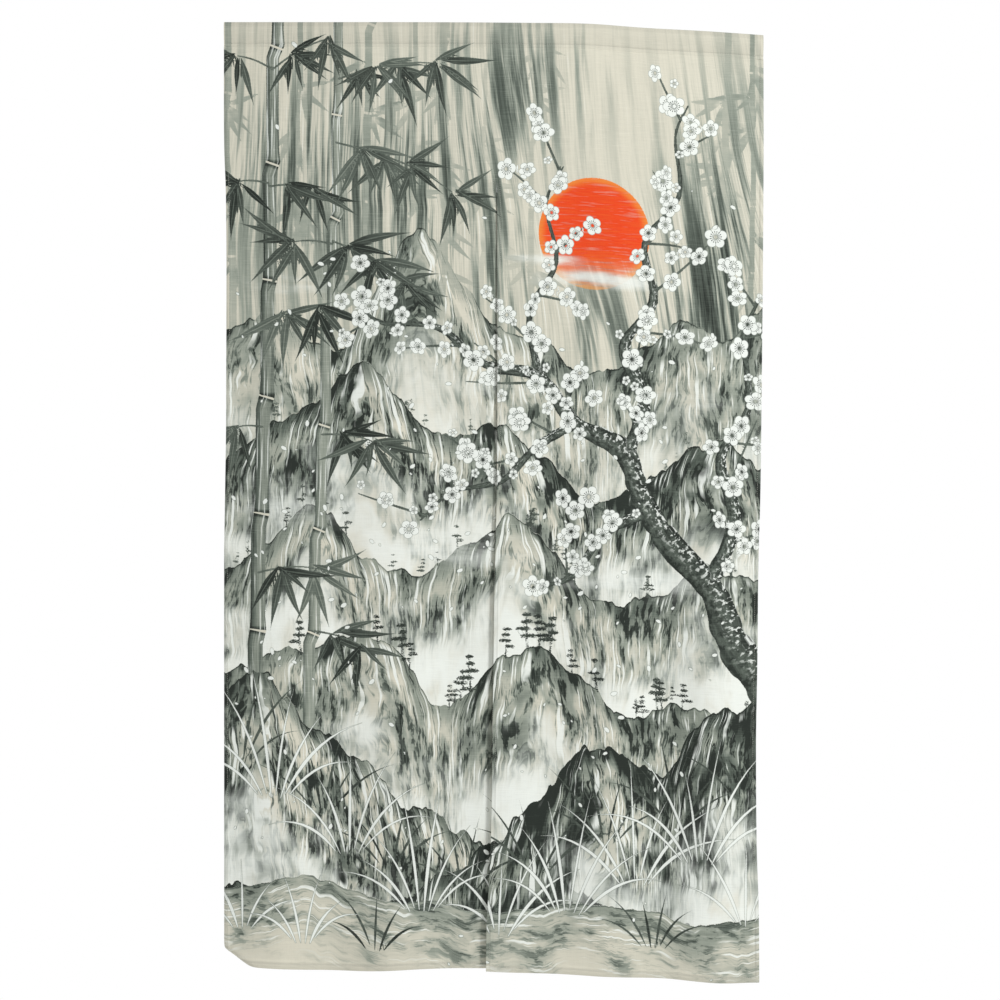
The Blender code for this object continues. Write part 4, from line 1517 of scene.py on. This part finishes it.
def pocket_section():
    """The pocket's cloth seen from its end, as rows of y, z: from the raw edge tucked inside its
    back, round the fold, up the back, over the top and down the front to its foot."""
    layer = SOLID_CLOTH / 2
    tucked = [(0.0, z) for z in TUCKED_LEVELS]
    turn_z = -POCKET_HEIGHT + layer / 2
    turn = [(layer / 2 * (1 - math.cos(a)), turn_z - layer / 2 * math.sin(a))
            for a in TURN_ANGLES]
    rising = [(layer, RISING_LEVEL)]
    t = 2 * math.pi - np.linspace(ROUND_GAP, 2 * math.pi - ROUND_GAP, ROUND_STEPS)
    y = -np.sin(t) * np.sin(t / 2)
    y *= POCKET_INSIDE_DEPTH / 2 / y.max()
    z = -(SOLID_CLOTH + POCKET_INSIDE_HEIGHT * (1 + np.cos(t)) / 2)
    way_y, way_z = np.gradient(y), np.gradient(z)
    size = np.hypot(way_y, way_z)
    round_part = np.stack((y + way_z / size * layer, z - way_y / size * layer), axis=1)
    falling = [(-layer, z) for z in FALLING_LEVELS]
    rows = np.array(tucked + turn + rising + round_part.tolist() + falling)
    # The number of rows has to be odd, so that every other one of them reaches both ends.
    return rows if len(rows) % 2 else np.delete(rows, 1, axis=0)


POCKET_DOUBLED = (0.022, POCKET_LINE + 0.001)    # the depths over which its layers thicken
GATHERED_FADE = (0.004, 0.016)   # and those over which its relief starts
BELLY_LEVEL = 0.016          # the depth about which the pocket is fuller and slimmer by turns
BELLY_ENDS = (-0.017, -0.008)    # how far to either side of it that starts and is full
BELLY = ((0.10, 0.075, 61), (0.05, 0.022, 62))   # by what share, over what length, and the seed


def pocket_relief(x, z):
    """How far the pocket's layers stand out beside the stitches that close it."""
    doubled = HEM_STEP * rise(-z, *POCKET_DOUBLED)
    return puckers(x, z + POCKET_LINE, PUCKER_SEEDS["pocket"]) + doubled


def make_pocket(thickness, material, picture):
    """The printed cloth turned over the rod way and stitched down."""
    section = pocket_section()
    flat = [panel.flat_left + panel.width * panel_columns(panel) for panel in PANELS]
    columns = np.concatenate((flat[0], flat[1][1:]))
    x = np.tile(columns, (len(section), 1))
    y = np.tile(section[:, :1], (1, len(columns)))
    z = np.tile(section[:, 1:], (1, len(columns)))
    behind = np.arange(len(section))[:, None] < np.argmax(section[:, 1])
    belly = rise(-np.abs(z + BELLY_LEVEL), *BELLY_ENDS)
    y = y * (1 + belly * sum(share * wander(x, pitch, seed) for share, pitch, seed in BELLY))
    gathered = pocket_relief(x, z)
    y = y + np.where(behind, gathered, -gathered) * rise(-z, *GATHERED_FADE)
    print_z = np.where(behind, -z, z)
    middle = np.stack((x, y, z + top_edge(x)), axis=-1)
    mesh = cloth_mesh("pocket_cloth", middle, x, print_z, thickness, picture)
    piece = new_piece("pocket_cloth", mesh, material)
    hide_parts("rod_pocket")
    round_length = np.hypot(*np.diff(section, axis=0).T).sum()
    return piece, (2 * HALF_WIDTH, float(round_length))


def swept_mesh(name, runs):
    """Closed strips, each from a grid of points: along it, and round its section."""
    points, polygons, start = [], [], 0
    for run in runs:
        count, sides = run.shape[:2]
        index = start + np.arange(count * sides).reshape(count, sides)
        beside = np.roll(index, -1, axis=1)
        quads = np.stack((index[:-1], beside[:-1], beside[1:], index[1:]), axis=-1)
        polygons += quads.reshape(-1, 4).tolist()
        polygons += [index[0][::-1].tolist(), index[-1].tolist()]
        points.append(run.reshape(-1, 3))
        start += count * sides
    return new_mesh(name, np.concatenate(points).tolist(), polygons)


# A turned hem's section, from the cloth's face round its folded edge to the back: how far in
# from the edge each point lies, as a share of the hem's width or, when negative, in mm, and how
# far behind the middle of the cloth, in thicknesses.
HEM_SECTION = ((0.06, -0.35), (-0.15, -0.30), (-0.30, 0.20), (-0.30, 0.90), (-0.12, 1.45), (0.08, 1.58),
               (0.50, 1.56), (0.90, 1.56), (1.00, 1.30), (1.00, 0.60), (0.94, 0.20))
HEM_EDGES = ("outer", "slit", "foot")
OVER_FOOT = (0.0135, 0.0095)     # above the foot, where a side hem rises over the foot's hem


def hem_points(panel, edge, width, thickness, across, down):
    """One hem's strip, and where its points lie in the picture."""
    at_left = panel.at_left(edge)
    grid, flat_x, flat_z = [], [], []
    for inset, behind in HEM_SECTION:
        inward = inset * width if inset >= 0 else 0.0
        outward = -inset * 0.001 if inset < 0 else 0.0
        if edge == "foot":
            line_across, line_down = across, np.full_like(across, 1 - inward / DROP)
        else:
            inset_share = inward / panel.width
            line_down = down
            line_across = np.full_like(down, inset_share if at_left else 1 - inset_share)
        here, right, back = panel.frame_at(line_across, line_down)
        lower = np.cross(back, right)
        lift = np.full(len(here), behind * thickness)
        if edge == "foot":
            beyond = lower * outward
        else:
            beyond = right * (-outward if at_left else outward)
            if edge == "slit":
                beyond = beyond * rise(down * DROP, -SLIT_TOP - 0.03, -SLIT_TOP)[:, None]
            over_foot = rise((1 - down) * DROP, *OVER_FOOT)
            lift = lift + (thickness * over_foot if behind > 1.0 else 0.0)
        grid.append(here + back * lift[:, None] + beyond)
        x, z = panel.flat_place(line_across, line_down)
        if edge == "foot":
            z = PICTURE_FOOT - (z - PICTURE_FOOT)
        else:
            side = panel.flat_left if at_left else panel.flat_right
            x = side - (x - side)
        flat_x.append(x)
        flat_z.append(z)
    turned = at_left or edge == "foot"
    order = slice(None) if turned else slice(None, None, -1)
    return tuple(np.stack(part, axis=1)[:, order] for part in (grid, flat_x, flat_z))


def make_hems(panel, side_width, foot_width, thickness, material, picture):
    """The hems turned to the back of one panel, with the printed face outwards."""
    widths = {"outer": side_width, "slit": side_width, "foot": foot_width}
    across, down = panel_columns(panel), panel_rows()
    runs = [hem_points(panel, edge, widths[edge], thickness, across, down) for edge in HEM_EDGES]
    mesh = swept_mesh(panel.name + "_hems", [run[0] for run in runs])
    x = np.concatenate([run[1].ravel() for run in runs])
    z = np.concatenate([run[2].ravel() for run in runs])
    set_print(mesh, x, z, np.ones_like(x), picture)
    return new_piece(panel.name + "_hems", mesh, material)


# A stitch's shape: places along its half length, how thick it is there, and how far it has
# sunk into the cloth, in thread radii.
STITCH_SHAPE = ((-1.0, 0.05, 1.3), (-0.80, 0.80, 0.45), (0.0, 1.0, 0.0), (0.80, 0.80, 0.45), (1.0, 0.05, 1.3))
STITCH_SIDES = 5
STITCH_STRAY = 0.00012       # how far stitches stray to either side of their line
STITCH_TURN = 0.05           # and how far they turn from it
STITCH_SHIFT = 0.0007        # how far the thread's grain shifts, for each point of the ones before
STITCH_SEEDS = {"panel": 71, "pocket": 81, "tack": 91, "shade": 9}
FIRST_STITCH = 0.004         # from the start of a hem to its first stitch
LAST_STITCH = 0.002          # and how near its end, or the pocket's, the last may start
POCKET_FIRST = 0.003         # from the pocket's end to its first stitch
HEM_BACK = 1.6               # from the cloth's middle to the back of a hem, in thicknesses
TACK_COUNT = 7
TACK_PITCH = 0.00075
TACK_LENGTH = 0.0075
TACK_DROP = 0.002            # how far below the slit's top it starts
TACK_STRAY = 0.0002


def stitch_mesh(name, centres, along, out, length, radius):
    """Many stitches as one mesh: each at a centre, lying along one way and showing on another."""
    aside = np.cross(along, out)
    rings = []
    for place, thick, sunk in STITCH_SHAPE:
        middle = centres + along * (place * length / 2) - out * (sunk * radius)
        for k in range(STITCH_SIDES):
            angle = 2 * math.pi * k / STITCH_SIDES
            rings.append(middle + (aside * math.cos(angle) + out * math.sin(angle)) * (thick * radius))
    points = np.stack(rings, axis=1)
    count, each = points.shape[:2]
    template = []
    for ring in range(len(STITCH_SHAPE) - 1):
        for k in range(STITCH_SIDES):
            a, b = ring * STITCH_SIDES + k, ring * STITCH_SIDES + (k + 1) % STITCH_SIDES
            template.append((a, b, b + STITCH_SIDES, a + STITCH_SIDES))
    last = (len(STITCH_SHAPE) - 1) * STITCH_SIDES
    caps = [list(range(STITCH_SIDES))[::-1], list(range(last, last + STITCH_SIDES))]
    starts = np.arange(count) * each
    polygons = (np.array(template)[None] + starts[:, None, None]).reshape(-1, 4).tolist()
    for cap in caps:
        polygons += (np.array(cap)[None] + starts[:, None]).tolist()
    mesh = new_mesh(name, points.reshape(-1, 3).tolist(), polygons)
    lengths = np.repeat([row[0] for row in STITCH_SHAPE], STITCH_SIDES) * length / 2
    rounds = np.tile(np.arange(STITCH_SIDES) / STITCH_SIDES * 2 * math.pi * radius, len(STITCH_SHAPE))
    shades = np.random.default_rng(STITCH_SEEDS["shade"]).uniform(0, 1, count)
    held = np.zeros((count, each, 3))
    held[..., 0] = lengths + starts[:, None] * STITCH_SHIFT
    held[..., 1] = rounds
    held[..., 2] = shades[:, None]
    set_vectors(mesh, "print", held.reshape(-1, 3))
    return mesh


def join_runs(runs):
    """The centres, ways and outward directions of several runs of stitches as one."""
    return tuple(np.concatenate(part) for part in zip(*runs))


def panel_stitches(panel, sizes):
    """Where the stitches of one panel's hems lie on both sides of its cloth."""
    rng = np.random.default_rng(STITCH_SEEDS["panel"] + panel.inner)
    runs = []
    for edge in HEM_EDGES:
        line = FOOT_LINE if edge == "foot" else SIDE_LINE
        length = panel.width if edge == "foot" else DROP
        first = -SLIT_TOP + PANEL_TOP if edge == "slit" else FIRST_STITCH
        places = np.arange(first, length - LAST_STITCH, sizes.stitch_pitch)
        inset = line + rng.normal(0, STITCH_STRAY, len(places))
        if edge == "foot":
            across, down = places / panel.width, 1 - inset / DROP
        else:
            inset_share = inset / panel.width
            across, down = inset_share if panel.at_left(edge) else 1 - inset_share, places / DROP
        here, right, back = panel.frame_at(across, down)
        way = right if edge == "foot" else np.cross(back, right)
        way = way + np.cross(back, way) * rng.normal(0, STITCH_TURN, len(places))[:, None]
        way /= np.linalg.norm(way, axis=1, keepdims=True)
        for out, depth in ((-back, 0.5), (back, HEM_BACK)):
            runs.append((here + out * (depth * sizes.thickness), way, out))
    return join_runs(runs)


def pocket_stitches(sizes):
    """Where the stitches that close the pocket lie, on its front and its back."""
    x = np.arange(-HALF_WIDTH + POCKET_FIRST, HALF_WIDTH - LAST_STITCH, sizes.stitch_pitch)
    z = -POCKET_LINE + np.random.default_rng(STITCH_SEEDS["pocket"]).normal(0, STITCH_STRAY, len(x))
    gathered = pocket_relief(x, z)
    slope = np.gradient(top_edge(x), x)
    way = np.stack((np.ones_like(x), np.zeros_like(x), slope), axis=1)
    way /= np.linalg.norm(way, axis=1, keepdims=True)
    runs = []
    for face in (-1, 1):
        y = face * (SOLID_CLOTH / 2 + gathered + sizes.thickness / 2)
        centres = np.stack((x, y, z + top_edge(x)), axis=1)
        runs.append((centres, way, np.tile((0.0, face, 0.0), (len(x), 1))))
    return join_runs(runs)


def tack_stitches(sizes):
    """The bar of stitches that holds the top of the slit, on both sides."""
    z = SLIT_TOP + np.arange(TACK_COUNT) * TACK_PITCH - TACK_DROP
    x = SEAM_X + np.random.default_rng(STITCH_SEEDS["tack"]).normal(0, TACK_STRAY, len(z))
    way = np.tile((1.0, 0.0, 0.0), (len(x), 1))
    runs = []
    for face, depth in ((-1, -0.5), (1, HEM_BACK)):
        centres = np.stack((x, np.full_like(x, CLOTH_PLANE + depth * sizes.thickness), z), axis=1)
        runs.append((centres, way, np.tile((0.0, face, 0.0), (len(x), 1))))
    return join_runs(runs)


def make_stitches(name, places, length, sizes, material):
    """A piece of many stitches."""
    return new_piece(name, stitch_mesh(name, *places, length, sizes.thread), material)


# ---- What a user would change ----
def length_setting(name, description, default, precision=4, **limits):
    """A length, in metres."""
    return bpy.props.FloatProperty(name=name, description=description, default=default,
                                   unit="LENGTH", precision=precision, **limits)


def power_setting(name, description, default):
    """A lamp's power, in watts."""
    return bpy.props.FloatProperty(name=name, description=description, default=default, unit="POWER")


def colour_setting(name, description, *default):
    """A colour, as linear red, green and blue."""
    return bpy.props.FloatVectorProperty(name=name, description=description, default=default,
                                         subtype="COLOR")


class NorenSizes(bpy.types.PropertyGroup):
    """Sizes of the cloth and its sewing."""

    thickness: length_setting("Cloth", "Thickness of the linen", 0.0006, 5, min=0.0003, max=0.0012)
    side_hem: length_setting("Side hem", "Width of the hems down the sides", 0.0062)
    foot_hem: length_setting("Foot hem", "Width of the hem along the foot", 0.0104)
    stitch_length: length_setting("Stitch", "Length of a stitch", 0.0026)
    stitch_pitch: length_setting("Stitch pitch", "From one stitch to the next", 0.0034)
    thread: length_setting("Thread", "Radius of the sewing thread", 0.00019, 5)


class NorenColours(bpy.types.PropertyGroup):
    """Colours of the linen and of the print."""

    ground: colour_setting("Linen", "The undyed cloth", 0.632, 0.610, 0.506)
    pale_ink: colour_setting("Pale ink", "Thin grey-green ink", 0.302, 0.332, 0.279)
    middle_ink: colour_setting("Middle ink", "Ink at half strength", 0.104, 0.126, 0.104)
    deep_ink: colour_setting("Deep ink", "Full ink", 0.0195, 0.0255, 0.0205)
    white: colour_setting("White", "The printed white", 0.796, 0.832, 0.786)
    vermilion: colour_setting("Vermilion", "The sun and the hearts of the blossoms", 0.740, 0.060, 0.012)
    ochre: colour_setting("Ochre", "The thin rim of the sun", 0.780, 0.330, 0.060)
    thread: colour_setting("Thread", "The sewing thread", 0.560, 0.560, 0.500)


class NorenStudio(bpy.types.PropertyGroup):
    """The studio: camera, light and floor."""

    lens: bpy.props.FloatProperty(
        name="Lens", description="Focal length of the camera, in mm", default=85.0)
    frame_width: length_setting("Frame width", "Width of the view at the cloth", 1.577, 2)
    centre_x: length_setting("Centre X", "Where the view is centred", 0.010, 2)
    centre_z: length_setting("Centre Z", "Where the view is centred", -0.754, 2)
    soft_light: bpy.props.FloatProperty(
        name="Soft light", description="Strength of the even light from all round", default=0.52)
    key_power: power_setting("Key light", "Power of the light at the upper right", 84.0)
    fill_power: power_setting("Fill light", "Power of the light at the left", 8.0)
    back_power: power_setting("Back light", "Power of the light behind the curtain", 52.0)
    floor_z: length_setting("Floor", "Height of the floor", -2.0, 2)
    floor_radius: length_setting("Floor radius", "Radius of the round floor", 2.05, 2)


# ---- Operators ----
MADE = {}                    # the materials and the picture, once they are made


def materials(scene):
    """The cloth, the thread and the picture, made once."""
    if "cloth" not in MADE:
        MADE["cloth"] = printed_cloth(scene.noren_colours)
        MADE["thread"] = sewing_thread(scene.noren_colours)
        MADE["picture"] = Picture()
    return MADE["cloth"], MADE["thread"], MADE["picture"]


class NOREN_OT_pocket(bpy.types.Operator):
    """Make the rod pocket's cloth and the stitches that close it"""

    bl_idname = "noren.pocket"
    bl_label = "Rod pocket"

    def execute(self, context):
        sizes = context.scene.noren_sizes
        cloth, thread, picture = materials(context.scene)
        pocket, flat = make_pocket(sizes.thickness, cloth, picture)
        stitches = make_stitches("pocket_stitches", pocket_stitches(sizes), sizes.stitch_length,
                                 sizes, thread)
        return {"FINISHED"}


class NOREN_OT_panels(bpy.types.Operator):
    """Make the two printed panels with their turned hems and stitching"""

    bl_idname = "noren.panels"
    bl_label = "Panels and hems"

    def execute(self, context):
        sizes = context.scene.noren_sizes
        cloth, thread, picture = materials(context.scene)
        for panel in PANELS:
            piece, flat = make_panel(panel, sizes.thickness, cloth, picture)
            hems = make_hems(panel, sizes.side_hem, sizes.foot_hem, sizes.thickness, cloth, picture)
            stitches = make_stitches(panel.name + "_stitches", panel_stitches(panel, sizes),
                                     sizes.stitch_length, sizes, thread)
        return {"FINISHED"}


class NOREN_OT_tack(bpy.types.Operator):
    """Make the bar of stitches at the top of the slit"""

    bl_idname = "noren.tack"
    bl_label = "Slit tack"

    def execute(self, context):
        sizes = context.scene.noren_sizes
        thread = materials(context.scene)[1]
        make_stitches("slit_tack", tack_stitches(sizes), TACK_LENGTH, sizes, thread)
        return {"FINISHED"}


class NOREN_OT_studio(bpy.types.Operator):
    """Make the floor, the light and the camera"""

    bl_idname = "noren.studio"
    bl_label = "Studio"

    def execute(self, context):
        studio = context.scene.noren_studio
        make_floor(studio)
        make_light(context.scene, studio)
        make_camera(context.scene, studio)
        return {"FINISHED"}


# Each lamp's name, place and size, and the setting that holds its power.
LAMPS = (
    ("key light", (2.1, -2.5, 0.7), 0.7, "key_power"),
    ("fill light", (-2.4, -2.2, -0.9), 1.6, "fill_power"),
    ("back light", (-2.3, 2.4, 0.6), 0.9, "back_power"),
)
WHITE = (1, 1, 1, 1)
FLOOR_GREYS = ((0.80, 0.80, 0.79, 1), (0.84, 0.84, 0.83, 1))
FLOOR_SIDES = 128
SENSOR_WIDTH = 36.0          # the camera's, in mm


def make_floor(studio):
    """A plain pale round floor under the curtain."""
    material, wires = new_material("studio floor")
    place = wires.node("ShaderNodeNewGeometry", output="Position")
    grain = wires.node("ShaderNodeTexNoise", None, {"Vector": place, "Scale": 6.0, "Detail": 3.0})
    wires.surface({"Base Color": wires.mix(grain, *FLOOR_GREYS), "Roughness": 0.85})
    rim = [(studio.floor_radius * math.cos(a), studio.floor_radius * math.sin(a), studio.floor_z)
           for a in np.linspace(0, 2 * math.pi, FLOOR_SIDES, endpoint=False)]
    mesh = new_mesh("floor", rim, [list(range(len(rim)))])
    mesh.materials.append(material)
    floor = bpy.data.objects.new("floor", mesh)
    bpy.context.scene.collection.objects.link(floor)


def make_light(scene, studio):
    """White all round, a key light at the upper right, a weak one at the left and one behind."""
    world = bpy.data.worlds.new("white studio")
    world.use_nodes = True
    scene.world = world
    wires = Wires(world)
    seen = wires.node("ShaderNodeLightPath", output="Is Camera Ray")
    strength = seen * (1.0 - studio.soft_light) + studio.soft_light
    wires.surface({"Color": WHITE, "Strength": strength}, "Background")
    for name, place, size, power in LAMPS:
        lamp = bpy.data.lights.new(name, "AREA")
        lamp.shape = "SQUARE"
        lamp.size = size
        lamp.energy = getattr(studio, power)
        light = bpy.data.objects.new(name, lamp)
        light.location = place
        aim = light.location.copy()
        aim.z -= studio.centre_z
        light.rotation_euler = aim.to_track_quat("Z", "Y").to_euler()
        scene.collection.objects.link(light)


def make_camera(scene, studio):
    """A camera straight before the cloth, as in the photograph."""
    data = bpy.data.cameras.new("camera")
    data.lens = studio.lens
    data.sensor_width = SENSOR_WIDTH
    camera = bpy.data.objects.new("camera", data)
    distance = studio.frame_width * studio.lens / SENSOR_WIDTH
    camera.location = (studio.centre_x, -distance, studio.centre_z)
    camera.rotation_euler = (math.pi / 2, 0, 0)
    scene.collection.objects.link(camera)
    scene.camera = camera
    scene.view_settings.view_transform = "Standard"


class NOREN_PT_sidebar(bpy.types.Panel):
    """The curtain's tools and settings"""

    bl_label = "Noren"
    bl_idname = "NOREN_PT_sidebar"
    bl_space_type = "VIEW_3D"
    bl_region_type = "UI"
    bl_category = "Noren"

    def draw(self, context):
        for operator in OPERATORS:
            self.layout.operator(operator.bl_idname)
        for name, group in GROUPS.items():
            box = self.layout.box()
            for field in group.__annotations__:
                box.prop(getattr(context.scene, name), field)


OPERATORS = (NOREN_OT_pocket, NOREN_OT_panels, NOREN_OT_tack, NOREN_OT_studio)
GROUPS = {"noren_sizes": NorenSizes, "noren_colours": NorenColours, "noren_studio": NorenStudio}


def register():
    """Add the classes and the scene's settings."""
    for group in GROUPS.values():
        bpy.utils.register_class(group)
    for operator in OPERATORS:
        bpy.utils.register_class(operator)
    bpy.utils.register_class(NOREN_PT_sidebar)
    for name, group in GROUPS.items():
        setattr(bpy.types.Scene, name, bpy.props.PointerProperty(type=group))


def unregister():
    """Take them away again."""
    for name in GROUPS:
        delattr(bpy.types.Scene, name)
    bpy.utils.unregister_class(NOREN_PT_sidebar)
    for added in (*OPERATORS, *GROUPS.values()):
        bpy.utils.unregister_class(added)


def main():
    """Make everything in order."""
    register()
    bpy.ops.noren.pocket()
    bpy.ops.noren.panels()
    bpy.ops.noren.tack()
    bpy.ops.noren.studio()


if __name__ == "__main__":
    main()
